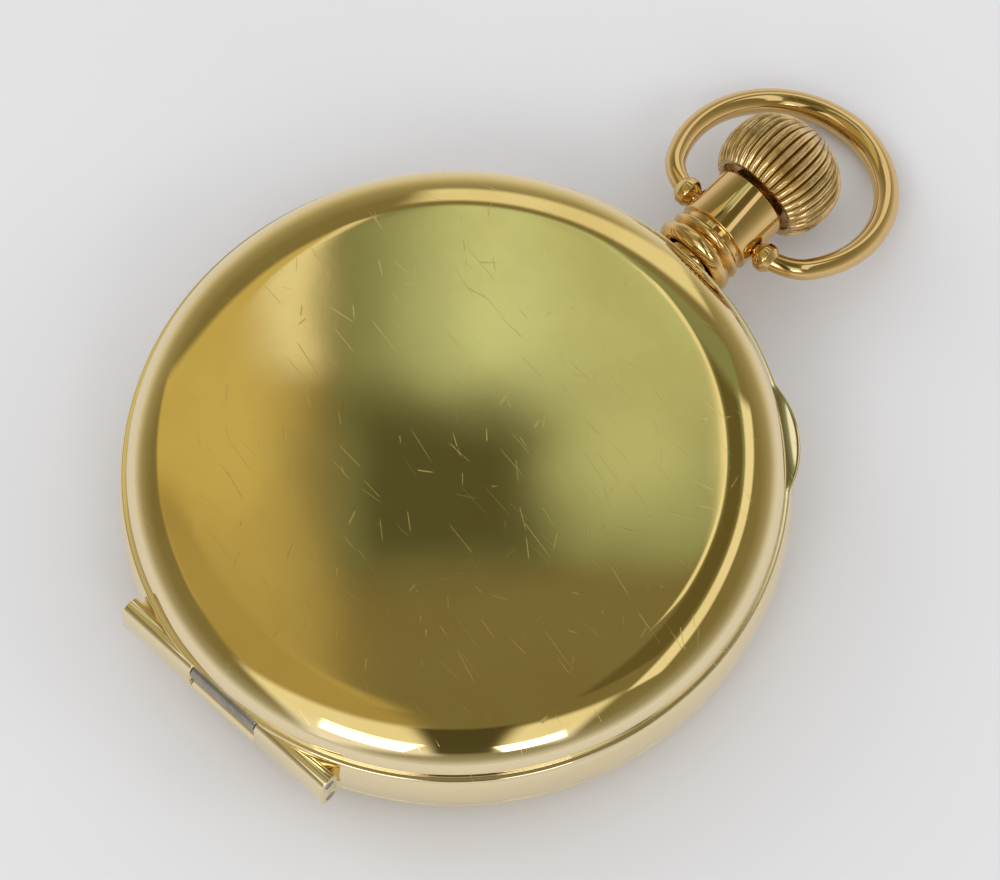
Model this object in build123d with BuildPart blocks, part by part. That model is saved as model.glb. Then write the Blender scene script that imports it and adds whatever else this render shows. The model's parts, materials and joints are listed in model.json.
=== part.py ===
from build123d import *
from math import asin, atan2, cos, degrees, hypot, radians, sin, sqrt
import os

os.makedirs("parts", exist_ok=True)

# Half hunter pocket watch, closed and lying on its front lid. Lengths are in millimetres, angles in degrees.
# The origin is on the case axis, in the plane that the front lid's window ring rests on.
# +Z runs from the front of the watch to its back, and +Y from the hinge to the pendant.

# Case: two domed lids on a band
band_wall = 2.55
bead_stand = 0.4
bead_h = 0.45
lid_wall = 0.5
lid_upright_h = 0.7
shoulder_w = 4.6
shoulder_h = 2.95
dome_sag = 0.55
parting_gap = 0.03
band_h = 3.95
band_bulge = 0.28
seat_w = 0.6
seat_h = 0.4

# Thumb lip on the back cover
lip_angle = 50.0
lip_r = 8.2
lip_stand = 0.9
lip_h = 0.35

# Window in the front lid
window_r = 9.9
ring_w = 1.0
ring_stand = 0.15
ring_neck_w = 0.35
ring_h = 1.15
ring_shelf_w = 0.6
ring_shelf_h = 0.25
window_glass_h = 0.75
ring_gap = 0.03

# Enamelled hours round the window
numeral_inner_r = 11.7
numeral_h = 4.2
numeral_stroke = 0.5
numeral_hair = 0.28
numeral_pitch = 0.85
numeral_v_w = 1.3
numeral_x_w = 1.6
enamel_depth = 0.12

# Lid hinges
hinge_inset = 0.8
hinge_drop = 0.9
knuckle_r = 0.85
hinge_l = 20.7
middle_knuckle_l = 6.6
knuckle_gap = 0.06
hinge_pin_r = 0.42
pin_clear = 0.03
pin_short = 0.9
swing_clear = 0.08
bead_trim = 0.06
hinge_leaf_w = 0.75
hinge_leaf_h = 0.5
hinge_web_w = 1.6
hinge_web_h = 1.2

# Inner dust cover
cuvette_clear = 0.6
cuvette_wall = 0.4
cuvette_upright_h = 0.5
cuvette_shoulder_w = 2.6
cuvette_shoulder_h = 1.8
cuvette_sag = 0.3
cuvette_hinge_inset = 0.6
cuvette_knuckle_r = 0.4
cuvette_knuckle_sink = 0.05
cuvette_hinge_l = 8.0
cuvette_middle_l = 3.0
cuvette_pin_r = 0.18
cuvette_leaf_l = 2.6
cuvette_leaf_w = 0.75
cuvette_trim_clear = 0.05

# Bezel and crystal under the front lid
bezel_clear = 0.8
bezel_foot_h = 0.45
bezel_foot_w = 1.4
bezel_slope_w = 2.4
bezel_lip_w = 0.5
bezel_drop = 2.6
bezel_shelf_w = 0.5
bezel_shelf_h = 0.25
bezel_side_h = 0.85
crystal_h = 0.6
dial_gap = 0.1

# Pendant, crown and bow
pendant_gap = 0.35
pendant_neck_r = 1.9
pendant_bore_r = 1.6
pendant_mouth_r = 2.45
pendant_mouth_l = 1.7
bead_one_r = 3.35
bead_one_l = 1.5
bead_two_r = 3.2
bead_two_l = 0.9
collar_r = 3.15
neck_end_r = 3.05
waist_r = 2.75
waist_l = 0.5
pendant_l = 7.3
pendant_edge = 0.25
crown_gap = 0.2
crown_l = 6.85
crown_r = 4.85
crown_mouth_r = 3.9
crown_recess_r = 3.35
crown_recess_l = 0.7
crown_core_r = 2.35
crown_core_l = 1.5
crown_button_r = 0.9
crown_flutes = 40
flute_depth = 0.25
sleeve_wall = 0.5
bow_pivot_drop = 2.95
bow_half_w = 8.05
bow_half_l = 8.85
bow_centre = 6.45
bow_end_x = 4.2
bow_end_r = 0.75
bow_apex_r = 1.12
bow_boss_r = 1.1
bow_boss_end_r = 0.75
bow_boss_l = 1.6
bow_boss_gap = 0.1
bow_pin_r = 0.5
bow_pin_l = 1.3
bow_rest_gap = 0.02

# Movement plates
movement_r = 22.4
movement_clear = 0.05
plate_h = 1.6
dial_h = 0.6
dial_inset = 0.8
train_gap = 2.15
bridge_h = 0.8
bridge_edge = 0.9
bridge_foot_r = 18.5
bridge_split_y = 2.2
bridge_split_gap = 0.3
train_bridge_left_x = -8.0
stem_way_w = 3.3
motion_recess_h = 0.9
recess_clear = 0.25
bridge_screw_turns = (38, 150, -20, -85)

# Places of the arbors, seen from the back
barrel_x = -8.18
barrel_y = 4.73
third_x = 4.9
third_y = -6.45
fourth_y = -10.5
escape_x = -5.53
escape_y = -9.02
pallet_x = -9.19
pallet_y = -7.54
balance_x = -13.45
balance_y = -5.82
minute_x = 3.93
minute_y = 2.75
crown_wheel_y = 11.4
setting_x = 1.39
setting_y = 8.19
click_x = -8.9
click_y = 12.9
cock_foot_x = -11.5
cock_foot_y = -14.5

# Tooth counts
barrel_teeth = 80
centre_leaves = 10
centre_teeth = 80
third_leaves = 10
third_teeth = 75
fourth_leaves = 10
fourth_teeth = 80
escape_leaves = 8
escape_teeth = 15
cannon_leaves = 12
minute_teeth = 36
minute_leaves = 10
hour_teeth = 40
ratchet_teeth = 40
crown_wheel_teeth = 28
crown_face_teeth = 32
winding_leaves = 14

# Heights and thicknesses in the movement
wheel_h = 0.15
small_gap = 0.1
barrel_low = 0.12
barrel_h = 1.05
barrel_rim_h = 0.4
barrel_wall = 0.45
barrel_floor = 0.2
barrel_lid_h = 0.2
barrel_arbor_r = 1.3
pivot_r = 0.2
pivot_clear = 0.03
arbor_r = 0.35
centre_arbor_r = 0.45
jewel_r = 0.75
jewel_h = 0.35
hub_r = 0.9
rim_w = 0.7
spoke_w = 0.5
spokes = 4
winding_wheel_h = 0.4
winding_gap = 0.15

# Keyless work
stem_r = 0.55
stem_clear = 0.03
stem_groove_r = 0.35
stem_groove_w = 0.6
stem_groove_y = 16.8
stem_pilot_l = 1.0
stem_square = 0.76
stem_end_clear = 0.2
winding_pinion_l = 1.0
face_ring_r = 3.1
face_ring_w = 0.5
face_tooth_h = 0.3
face_bite = 0.2
clutch_l = 1.9
clutch_r = 1.2
clutch_gap = 0.3
clutch_waist_r = 0.8
clutch_waist_w = 0.6
crown_pull = 0.9
lever_h = 0.25
lever_pin_r = 0.25
lever_arm = 2.6
lever_eye_r = 0.6
lever_w = 0.8
yoke_arm = 3.2
yoke_w = 0.44
keyless_head_r = 0.6
crown_hub_r = 0.8
crown_head_r = 1.3
click_spring_w = 0.25
click_spring_turns = (112, 150)
click_stud_r = 0.5

# Escapement and balance
escape_r = 3.4
fork_h = 0.25
fork_w = 0.5
fork_reach = 3.5
fork_slot_w = 0.4
fork_slot_l = 0.7
fork_head_w = 1.1
stone_angle = 30.0
stone_w = 0.3
stone_l = 0.5
stone_gap = 0.2
pallet_arm_w = 0.6
pallet_cock_h = 0.4
pallet_cock_gap = 0.3
pallet_foot_x = 0.6
pallet_foot_y = -2.7
pallet_foot_r = 0.7
roller_r = 1.6
roller_h = 0.25
impulse_pin_r = 0.15
impulse_reach = 0.95
balance_r = 6.1
balance_rim_w = 0.6
balance_rim_h = 0.5
balance_clear = 0.5
balance_arm_w = 0.8
balance_arm_h = 0.25
balance_cut_w = 0.3
balance_cut_turn = 8.5
roller_low = 1.15
impulse_gap = 0.05
timing_screw_r = 0.22
timing_screw_l = 0.4
timing_screws = 12
collet_r = 0.6
spring_inner_r = 0.75
spring_pitch = 0.36
spring_turns = 6
spring_thick = 0.09
spring_h = 0.15
cock_gap = 0.35
cock_h = 0.6
cock_w = 3.4
cock_foot_size_r = 1.8
regulator_h = 0.12
regulator_r = 1.1
regulator_l = 3.2
mainspring_thick = 0.22
mainspring_pitch = 0.85
mainspring_turns = 6

# Hands, lying between dial and crystal
hand_h = 0.15
hand_gap = 0.35
minute_hand_l = 18.6
hour_hand_l = 13.0
seconds_hand_l = 3.6
seconds_dial_r = 4.2
seconds_sink = 0.15
hand_eye_r = 1.5
hand_w = 0.7
hand_tip_w = 0.15
spade_r = 1.25
shown_hours = 10
shown_minutes = 10
seconds_eye_r = 0.5
seconds_tail_l = 1.2
cannon_r = 0.75
hour_pipe_wall = 0.3
dial_hole_clear = 0.15

# Screws
screw_head_r = 0.85
screw_head_h = 0.3
screw_shank_r = 0.4
screw_slot_w = 0.16
screw_slot_h = 0.12
case_screw_head_r = 1.1
case_screw_inset = 0.75
case_screw_angle = 20.0

# Spring that holds the front lid shut, in a groove of the band beside the pendant
lock_inset = 0.85
lock_w = 0.6
lock_h = 1.0
lock_clear = 0.05
lock_turns = (97, 150)
lock_foot_turn = 4.0
lock_nib_turns = (98, 104)
lock_nib_inset = 0.15
lock_nib_l = 0.8

cut_over = 1.0
STAND = (Align.CENTER, Align.CENTER, Align.MIN)

# Radii and places, all worked out from the sizes above
band_inner_r = movement_r + movement_clear
case_r = band_inner_r + band_wall
dome_r = case_r - bead_stand
cuvette_r = dome_r - lid_wall - cuvette_clear
bezel_r = dome_r - lid_wall - bezel_clear
bezel_top_r = bezel_r - bezel_slope_w
lock_inner_r = band_inner_r + lock_inset
hinge_y = hinge_inset - case_r
cuvette_hinge_y = cuvette_hinge_inset - cuvette_r
pendant_y = case_r + pendant_gap
pendant_end_y = pendant_y + pendant_l
bow_pivot_y = pendant_end_y - bow_pivot_drop

# Levels
lid_rise = lid_upright_h + shoulder_h + dome_sag
front_joint = ring_stand + lid_rise
back_joint = front_joint + band_h
stem_z = (front_joint + back_joint) / 2
plate_front = front_joint + seat_h
plate_back = plate_front + plate_h
dial_front = plate_front - dial_h
bridge_low = plate_back + train_gap
bridge_top = bridge_low + bridge_h
back_hinge_z = back_joint - hinge_drop
front_hinge_z = front_joint + hinge_drop
cuvette_hinge_z = back_joint + cuvette_knuckle_r - cuvette_knuckle_sink
recess_floor = plate_front + motion_recess_h
barrel_z = plate_back + barrel_low
barrel_top = barrel_z + barrel_h
centre_wheel_z = barrel_top + small_gap + wheel_h / 2
third_wheel_z = barrel_z + barrel_rim_h / 2 + small_gap
fourth_wheel_z = centre_wheel_z - wheel_h - small_gap
escape_wheel_z = plate_back + barrel_low + barrel_h / 2
winding_wheel_z = centre_wheel_z + wheel_h + small_gap
cannon_z = recess_floor - small_gap - wheel_h * 2
hour_wheel_z = plate_front + small_gap
balance_z = bridge_low
cock_low = balance_z + balance_rim_h + cock_gap
crystal_back = front_joint - bezel_drop + crystal_h
seconds_hand_z = dial_front - hand_gap / 2 - hand_h
hour_hand_z = seconds_hand_z - hand_gap - hand_h
minute_hand_z = hour_hand_z - hand_gap - hand_h
cannon_tip_z = minute_hand_z - small_gap
hour_pipe_r = cannon_r + pin_clear + hour_pipe_wall
winding_wheel_top = winding_wheel_z + winding_wheel_h
fork_z = escape_wheel_z - small_gap / 2
pallet_cock_low = fork_z + fork_h + pallet_cock_gap
pallet_cock_high = pallet_cock_low + pallet_cock_h
cock_high = cock_low + cock_h
winding_pinion_y = crown_wheel_y + face_ring_r - winding_pinion_l / 2
clutch_y = winding_pinion_y - clutch_gap - clutch_l
clutch_waist_y = clutch_y + clutch_l / 2
stem_inner_y = clutch_y - stem_pilot_l
stem_way_end_y = stem_inner_y - stem_end_clear

barrel_place = (barrel_x, barrel_y)
centre_place = (0, 0)
third_place = (third_x, third_y)
fourth_place = (0, fourth_y)
escape_place = (escape_x, escape_y)
pallet_place = (pallet_x, pallet_y)
balance_place = (balance_x, balance_y)
minute_place = (minute_x, minute_y)
crown_wheel_place = (0, crown_wheel_y)
setting_place = (setting_x, setting_y)
click_place = (click_x, click_y)
cock_foot_place = (cock_foot_x, cock_foot_y)
lever_pivot = (stem_groove_r + lever_pin_r + stem_clear + lever_arm, stem_groove_y + crown_pull / 2)
yoke_pivot = (clutch_waist_r + pivot_r + yoke_arm, clutch_waist_y - crown_pull / 2)


def span(a, b):
    """Distance between two places."""
    return hypot(b[0] - a[0], b[1] - a[1])


def bearing(a, b):
    """Direction from one place to another, in degrees."""
    return degrees(atan2(b[1] - a[1], b[0] - a[0]))


def module_between(a, b, teeth_a, teeth_b):
    """Module that puts two toothed pieces in mesh at their places."""
    return 2 * span(a, b) / (teeth_a + teeth_b)


# Tooth shapes: tip height and root depth as shares of the module, then the half widths at tip,
# pitch line and root as shares of the tooth pitch
wheel_tooth_share = (0.9, 1.25, 0.08, 0.215, 0.27)
leaf_tooth_share = (0.5, 1.4, 0.09, 0.185, 0.2)
winding_tooth_share = (0.8, 1.15, 0.09, 0.2, 0.27)

barrel_module = module_between(barrel_place, centre_place, barrel_teeth, centre_leaves)
centre_module = module_between(centre_place, third_place, centre_teeth, third_leaves)
third_module = module_between(third_place, fourth_place, third_teeth, fourth_leaves)
fourth_module = module_between(fourth_place, escape_place, fourth_teeth, escape_leaves)
minute_module = module_between(centre_place, minute_place, cannon_leaves, minute_teeth)
hour_module = module_between(centre_place, minute_place, hour_teeth, minute_leaves)
winding_module = module_between(barrel_place, crown_wheel_place, ratchet_teeth, crown_wheel_teeth)
setting_teeth = round(2 * span(minute_place, setting_place) / minute_module) - minute_teeth
setting_module = module_between(minute_place, setting_place, minute_teeth, setting_teeth)
face_module = 2 * face_ring_r / crown_face_teeth


def tip_radius(teeth, module, shares):
    """Outer radius of a toothed piece."""
    return module * (teeth / 2 + shares[0])


def root_radius(teeth, module, shares):
    """Radius at the bottom of the tooth gaps."""
    return module * (teeth / 2 - shares[1])


def outline(points):
    """A flat face with straight edges, drawn round its own origin."""
    with BuildSketch() as face:
        with BuildLine():
            Polyline(*points, close=True)
        make_face()
    return face.sketch


def toothed_face(teeth, module, shares):
    """A toothed outline with one tooth centred on its own +X axis."""
    tip, root, tip_half, pitch_half, root_half = shares
    pitch_r = module * teeth / 2
    tip_r = pitch_r + tip * module
    root_r = pitch_r - root * module
    steps = ((root_r, -root_half), (pitch_r, -pitch_half), (tip_r, -tip_half),
             (tip_r, tip_half), (pitch_r, pitch_half), (root_r, root_half))
    points = []
    for tooth in range(teeth):
        for radius, share in steps:
            turn = radians(360 * (tooth + share) / teeth)
            points.append((radius * cos(turn), radius * sin(turn)))
    return outline(points)


def facing(place, mate, teeth, gap=False):
    """Location at a place, turned so that a tooth, or a gap, points at the mate."""
    half_pitch = 180 / teeth if gap else 0
    return Location((place[0], place[1], 0), (0, 0, bearing(place, mate) + half_pitch))


def upright(place, *steps):
    """Adds round steps on an upright axis: each is a radius, a lower and an upper level."""
    for radius, low, high in steps:
        with Locations((place[0], place[1], low)):
            Cylinder(radius, high - low, align=STAND)


def bore(place, radius, low, high):
    """Cuts a round hole on an upright axis, through both levels."""
    with Locations((place[0], place[1], low - cut_over)):
        Cylinder(radius, high - low + 2 * cut_over, align=STAND, mode=Mode.SUBTRACT)


def pocket(place, radius, low, high):
    """Cuts a round recess between two levels."""
    with Locations((place[0], place[1], low)):
        Cylinder(radius, high - low, align=STAND, mode=Mode.SUBTRACT)


def spoked_wheel(teeth, module, bore_r):
    """Wheel outline with rim, spokes, hub and bore, a tooth on its own +X axis."""
    rim_inner_r = root_radius(teeth, module, wheel_tooth_share) - rim_w
    with BuildSketch() as windows:
        Circle(rim_inner_r)
        Circle(hub_r, mode=Mode.SUBTRACT)
        with PolarLocations(0, spokes):
            Rectangle(rim_inner_r + rim_w, spoke_w, align=(Align.MIN, Align.CENTER), mode=Mode.SUBTRACT)
        Circle(bore_r)
    with BuildSketch() as face:
        add(toothed_face(teeth, module, wheel_tooth_share))
        add(windows.sketch, mode=Mode.SUBTRACT)
    return face.sketch


def at_turn(radius, turn):
    """Place at a distance from the case axis, in a direction given in degrees."""
    return radius * cos(radians(turn)), radius * sin(radians(turn))


def sector_face(inner_r, outer_r, turns):
    """Part of a flat ring round the case axis, between two directions."""
    start, end = turns
    middle = (start + end) / 2
    with BuildSketch() as face:
        with BuildLine():
            ThreePointArc(at_turn(inner_r, start), at_turn(inner_r, middle), at_turn(inner_r, end))
            ThreePointArc(at_turn(outer_r, start), at_turn(outer_r, middle), at_turn(outer_r, end))
            Line(at_turn(inner_r, start), at_turn(outer_r, start))
            Line(at_turn(inner_r, end), at_turn(outer_r, end))
        make_face()
    return face.sketch


def slot_face(a, b, width):
    """A round ended bar from one place to another."""
    with BuildSketch() as face:
        with Locations(Location(((a[0] + b[0]) / 2, (a[1] + b[1]) / 2, 0), (0, 0, bearing(a, b)))):
            SlotCenterToCenter(span(a, b), width)
    return face.sketch


def raised(face, low, high, mode=Mode.ADD):
    """Adds or cuts a flat outline between two levels."""
    with Locations((0, 0, low)):
        add(face)
    extrude(amount=high - low, mode=mode)


def spiral_face(inner_r, pitch, turns, thick):
    """A flat spiral band of half circles, from the inside out."""
    half = thick / 2
    with BuildSketch() as face:
        with BuildLine():
            for side in (-half, half):
                for turn in range(turns):
                    low = inner_r + turn * pitch + side
                    high = low + pitch / 2
                    ThreePointArc((low, 0), (0, low), (-low, 0))
                    ThreePointArc((-low, 0), (pitch / 2, -high), (low + pitch, 0))
            Line((inner_r - half, 0), (inner_r + half, 0))
            Line((inner_r + turns * pitch - half, 0), (inner_r + turns * pitch + half, 0))
        make_face()
    return face.sketch


def dome_fall(reach, edge, sag):
    """How far a ball shaped dome has fallen from its pole, at a distance from the axis."""
    ball_r = (edge ** 2 + sag ** 2) / (2 * sag)
    return ball_r - sqrt(ball_r ** 2 - reach ** 2)


def dome_curve(joint, side, wall_r, upright_h, round_w, round_h, sag):
    """Draws a lid's line from its upright wall over the shoulder to the axis, and returns both ends."""
    ease_share = 0.55
    foot = (wall_r, joint + side * upright_h)
    shoulder = (wall_r - round_w, foot[1] + side * round_h)
    pole = (0, shoulder[1] + side * sag)
    fall = 2 * sag / shoulder[0] * ease_share * round_w
    Bezier(foot, (wall_r, foot[1] + side * ease_share * round_h),
           (shoulder[0] + ease_share * round_w, shoulder[1] - side * fall), shoulder)
    half_way = shoulder[0] / 2
    ThreePointArc(shoulder, (half_way, pole[1] - side * dome_fall(half_way, shoulder[0], sag)), pole)
    return foot, pole


def lid_section(joint, side):
    """Half section of a case lid with its bead, in the XZ plane."""
    edge = joint + side * parting_gap
    bead = joint + side * bead_h
    inner_r = dome_r - lid_wall
    with BuildSketch(Plane.XZ) as section:
        with BuildLine():
            foot, pole = dome_curve(joint, side, dome_r, lid_upright_h, shoulder_w, shoulder_h, dome_sag)
            inner_foot, inner_pole = dome_curve(joint, side, inner_r, lid_upright_h, shoulder_w - lid_wall,
                                                shoulder_h - lid_wall, dome_sag)
            Polyline(foot, (dome_r, bead), (case_r, bead), (case_r, edge), (inner_r, edge), inner_foot)
            Line(inner_pole, pole)
        make_face()
    return section.sketch


def dome_z(reach):
    """Level of the front lid's outer face at a distance from the axis, within its dome."""
    return ring_stand + dome_fall(reach, dome_r - shoulder_w, dome_sag)


def along_x(x, y, z):
    """Location whose upright direction runs along +X."""
    return Location((x, y, z), (0, 90, 0))


def tube_x(x_middle, y, z, radius, length, mode=Mode.ADD):
    """Adds or cuts a round bar along X."""
    with Locations(along_x(x_middle, y, z)):
        Cylinder(radius, length, mode=mode)


def lid_hinge_leaf(axis_z, side):
    """Adds a lid's middle knuckle and the leaf that carries it, and trims the bead over the hinge."""
    joint = axis_z + side * hinge_drop
    leaf_low = min(axis_z, joint + side * hinge_leaf_h)
    leaf_high = max(axis_z, joint + side * hinge_leaf_h)
    length = middle_knuckle_l - 2 * knuckle_gap
    with Locations((0, -dome_r - bead_trim, joint)):
        Box(hinge_l, cut_over, 2 * bead_h + cut_over, align=(Align.CENTER, Align.MAX, Align.CENTER),
            mode=Mode.SUBTRACT)
    with Locations((0, hinge_y - bead_trim, (leaf_low + leaf_high) / 2)):
        Box(length, hinge_leaf_w, leaf_high - leaf_low, align=(Align.CENTER, Align.MIN, Align.CENTER))
    tube_x(0, hinge_y, axis_z, knuckle_r, length)
    tube_x(0, hinge_y, axis_z, hinge_pin_r + pin_clear, hinge_l + cut_over, mode=Mode.SUBTRACT)


def band_hinge(axis_z):
    """Cuts the band's groove for one lid's swing, and adds its two outer knuckles."""
    swing_r = hypot(dome_r + bead_trim + hinge_y, hinge_drop + parting_gap) + swing_clear
    groove_half = sqrt(case_r ** 2 - hinge_y ** 2) + swing_clear
    knuckle_l = (hinge_l - middle_knuckle_l) / 2
    middle = middle_knuckle_l / 2 + knuckle_l / 2
    web_l = hinge_l / 2 - groove_half
    tube_x(0, hinge_y, axis_z, swing_r, 2 * groove_half, mode=Mode.SUBTRACT)
    with Locations((0, hinge_y, axis_z)):
        Box(2 * groove_half, case_r, 2 * swing_r, align=(Align.CENTER, Align.MAX, Align.CENTER),
            mode=Mode.SUBTRACT)
    for end in (-1, 1):
        with Locations((end * (groove_half + web_l / 2), hinge_y + hinge_web_w / 2, axis_z)):
            Box(web_l, hinge_web_w, hinge_web_h)
        tube_x(end * middle, hinge_y, axis_z, knuckle_r, knuckle_l)
    tube_x(0, hinge_y, axis_z, hinge_pin_r + pin_clear, hinge_l + cut_over, mode=Mode.SUBTRACT)


def stroke(middle, length, width, lean=0.0):
    """One straight stroke of a numeral, in the active sketch; lean is its slant in degrees."""
    with Locations(Location((middle, 0, 0), (0, 0, lean))):
        Rectangle(width, length)


def numeral_face(hour):
    """Roman numeral for an hour, centred, read from the front, its foot towards the case axis."""
    words = {1: "I", 2: "II", 3: "III", 4: "IIII", 5: "V", 6: "VI", 7: "VII", 8: "VIII", 9: "IX",
             10: "X", 11: "XI", 12: "XII"}
    widths = {"I": numeral_pitch, "V": numeral_v_w, "X": numeral_x_w}
    total = sum(widths[letter] for letter in words[hour])
    start = total / 2
    with BuildSketch() as face:
        for letter in words[hour]:
            middle = start - widths[letter] / 2
            if letter == "I":
                stroke(middle, numeral_h, numeral_stroke)
            elif letter == "V":
                lean = degrees(atan2(numeral_v_w / 2 - numeral_stroke / 2, numeral_h))
                stroke(middle + numeral_v_w / 4 - numeral_stroke / 4, numeral_h, numeral_stroke, -lean)
                stroke(middle - numeral_v_w / 4 + numeral_stroke / 4, numeral_h, numeral_hair, lean)
            else:
                lean = degrees(atan2(numeral_x_w - numeral_stroke * 2, numeral_h))
                stroke(middle, numeral_h, numeral_stroke, -lean)
                stroke(middle, numeral_h, numeral_hair, lean)
            start -= widths[letter]
    return face.sketch


def screws(places, seat, length):
    """Adds slotted cheese head screws, heads on the seat and shanks down from it."""
    for place in places:
        upright(place, (screw_head_r, seat, seat + screw_head_h), (screw_shank_r, seat - length, seat))
        with Locations((place[0], place[1], seat + screw_head_h - screw_slot_h)):
            Box(2 * screw_head_r, screw_slot_w, 2 * screw_slot_h, align=STAND, mode=Mode.SUBTRACT)


# Back cover: the polished dome that faces up
with BuildPart() as back_cover:
    add(lid_section(back_joint, 1))
    revolve(axis=Axis.Z)
    lip_centre = case_r + lip_stand - lip_r
    with BuildSketch(Plane.XY.offset(back_joint + parting_gap)):
        with Locations(at_turn(lip_centre, lip_angle)):
            Circle(lip_r)
        Circle(dome_r - lid_wall / 2, mode=Mode.SUBTRACT)
    extrude(amount=lip_h)
    lid_hinge_leaf(back_hinge_z, 1)
back_cover.part.label = "back_cover"
export_step(back_cover.part, "parts/back_cover.step")

# Hours in blue enamel, let into the front lid round its window
with BuildPart() as chapter_numerals:
    with BuildSketch():
        for hour in range(1, 13):
            hour_angle = 90 + 30 * hour
            hour_middle = numeral_inner_r + numeral_h / 2
            with Locations(Location((*at_turn(hour_middle, hour_angle), 0), (0, 0, hour_angle - 90))):
                add(numeral_face(hour))
    extrude(amount=front_joint - lid_upright_h)
    enamel_edge = numeral_x_w / 2
    enamel_reach = (numeral_inner_r - enamel_edge, hour_middle, numeral_inner_r + numeral_h + enamel_edge)
    with BuildSketch(Plane.XZ):
        with BuildLine():
            enamel_top = [(reach, dome_z(reach)) for reach in enamel_reach]
            enamel_low = [(reach, dome_z(reach) + enamel_depth) for reach in enamel_reach]
            ThreePointArc(*enamel_top)
            ThreePointArc(*enamel_low)
            Line(enamel_top[0], enamel_low[0])
            Line(enamel_top[2], enamel_low[2])
        make_face()
    revolve(axis=Axis.Z, mode=Mode.INTERSECT)
chapter_numerals.part.label = "chapter_numerals"
export_step(chapter_numerals.part, "parts/chapter_numerals.step")

# Front lid: the same dome with a round window
with BuildPart() as front_lid:
    add(lid_section(front_joint, -1))
    revolve(axis=Axis.Z)
    bore(centre_place, window_r + ring_neck_w, 0, front_joint)
    lid_hinge_leaf(front_hinge_z, -1)
    add(chapter_numerals.part, mode=Mode.SUBTRACT)
front_lid.part.label = "front_lid"
export_step(front_lid.part, "parts/front_lid.step")

# Window ring: its flat front face is what the watch lies on
with BuildPart() as window_ring:
    with BuildSketch(Plane.XZ):
        with BuildLine():
            neck_r = window_r + ring_neck_w
            flange_z = dome_z(neck_r) - ring_gap
            shelf_r = window_r - ring_shelf_w
            shelf_z = ring_h - ring_shelf_h
            Polyline((window_r, 0), (window_r + ring_w, 0), (window_r + ring_w, flange_z),
                     (neck_r, flange_z), (neck_r, ring_h), (shelf_r, ring_h), (shelf_r, shelf_z),
                     (window_r, shelf_z), close=True)
        make_face()
    revolve(axis=Axis.Z)
window_ring.part.label = "window_ring"
export_step(window_ring.part, "parts/window_ring.step")

# Window glass, seated on the ring's shelf
with BuildPart() as window_glass:
    upright(centre_place, (window_r, shelf_z - window_glass_h, shelf_z))
window_glass.part.label = "window_glass"
export_step(window_glass.part, "parts/window_glass.step")

# Band: the middle of the case, with its movement seat and hinge knuckles
stem_bore_r = stem_r + stem_clear
with BuildPart() as case_band:
    with BuildSketch(Plane.XZ):
        with BuildLine():
            ThreePointArc((case_r, front_joint), (case_r + band_bulge, stem_z), (case_r, back_joint))
            Polyline((case_r, back_joint), (band_inner_r, back_joint), (band_inner_r, plate_front),
                     (band_inner_r - seat_w, plate_front), (band_inner_r - seat_w, front_joint),
                     (case_r, front_joint))
        make_face()
    revolve(axis=Axis.Z)
    band_hinge(back_hinge_z)
    band_hinge(front_hinge_z)
    tube_x(0, cuvette_hinge_y, cuvette_hinge_z, cuvette_knuckle_r + swing_clear, cuvette_middle_l,
           mode=Mode.SUBTRACT)
    for cuvette_end in (-1, 1):
        cuvette_outer_l = (cuvette_hinge_l - cuvette_middle_l) / 2
        cuvette_outer_x = cuvette_end * (cuvette_middle_l / 2 + cuvette_outer_l / 2)
        tube_x(cuvette_outer_x, cuvette_hinge_y, cuvette_hinge_z, cuvette_knuckle_r, cuvette_outer_l)
    tube_x(0, cuvette_hinge_y, cuvette_hinge_z, cuvette_pin_r + pin_clear, cuvette_hinge_l + cut_over,
           mode=Mode.SUBTRACT)
    with Locations(Location((0, case_r, stem_z), (-90, 0, 0))):
        Cylinder(pendant_neck_r, 2 * (case_r - band_inner_r + cut_over), mode=Mode.SUBTRACT)
    for screw_turn in (case_screw_angle, case_screw_angle + 180):
        pocket(at_turn(movement_r - case_screw_inset, screw_turn), case_screw_head_r + movement_clear,
               plate_back, back_joint + cut_over)
    raised(sector_face(lock_inner_r - lock_clear, lock_inner_r + lock_w + lock_clear,
                       (lock_turns[0] - lock_foot_turn, lock_turns[1])),
           front_joint - cut_over, front_joint + lock_h + 2 * lock_clear, Mode.SUBTRACT)
case_band.part.label = "case_band"
export_step(case_band.part, "parts/case_band.step")

# Hinge pins
with BuildPart() as lid_hinge_pins:
    tube_x(pin_short / 2, hinge_y, back_hinge_z, hinge_pin_r, hinge_l - pin_short)
    tube_x(pin_short / 2, hinge_y, front_hinge_z, hinge_pin_r, hinge_l - pin_short)
lid_hinge_pins.part.label = "lid_hinge_pins"
export_step(lid_hinge_pins.part, "parts/lid_hinge_pins.step")

with BuildPart() as cuvette_hinge_pin:
    tube_x(0, cuvette_hinge_y, cuvette_hinge_z, cuvette_pin_r, cuvette_hinge_l)
cuvette_hinge_pin.part.label = "cuvette_hinge_pin"
export_step(cuvette_hinge_pin.part, "parts/cuvette_hinge_pin.step")

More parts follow.
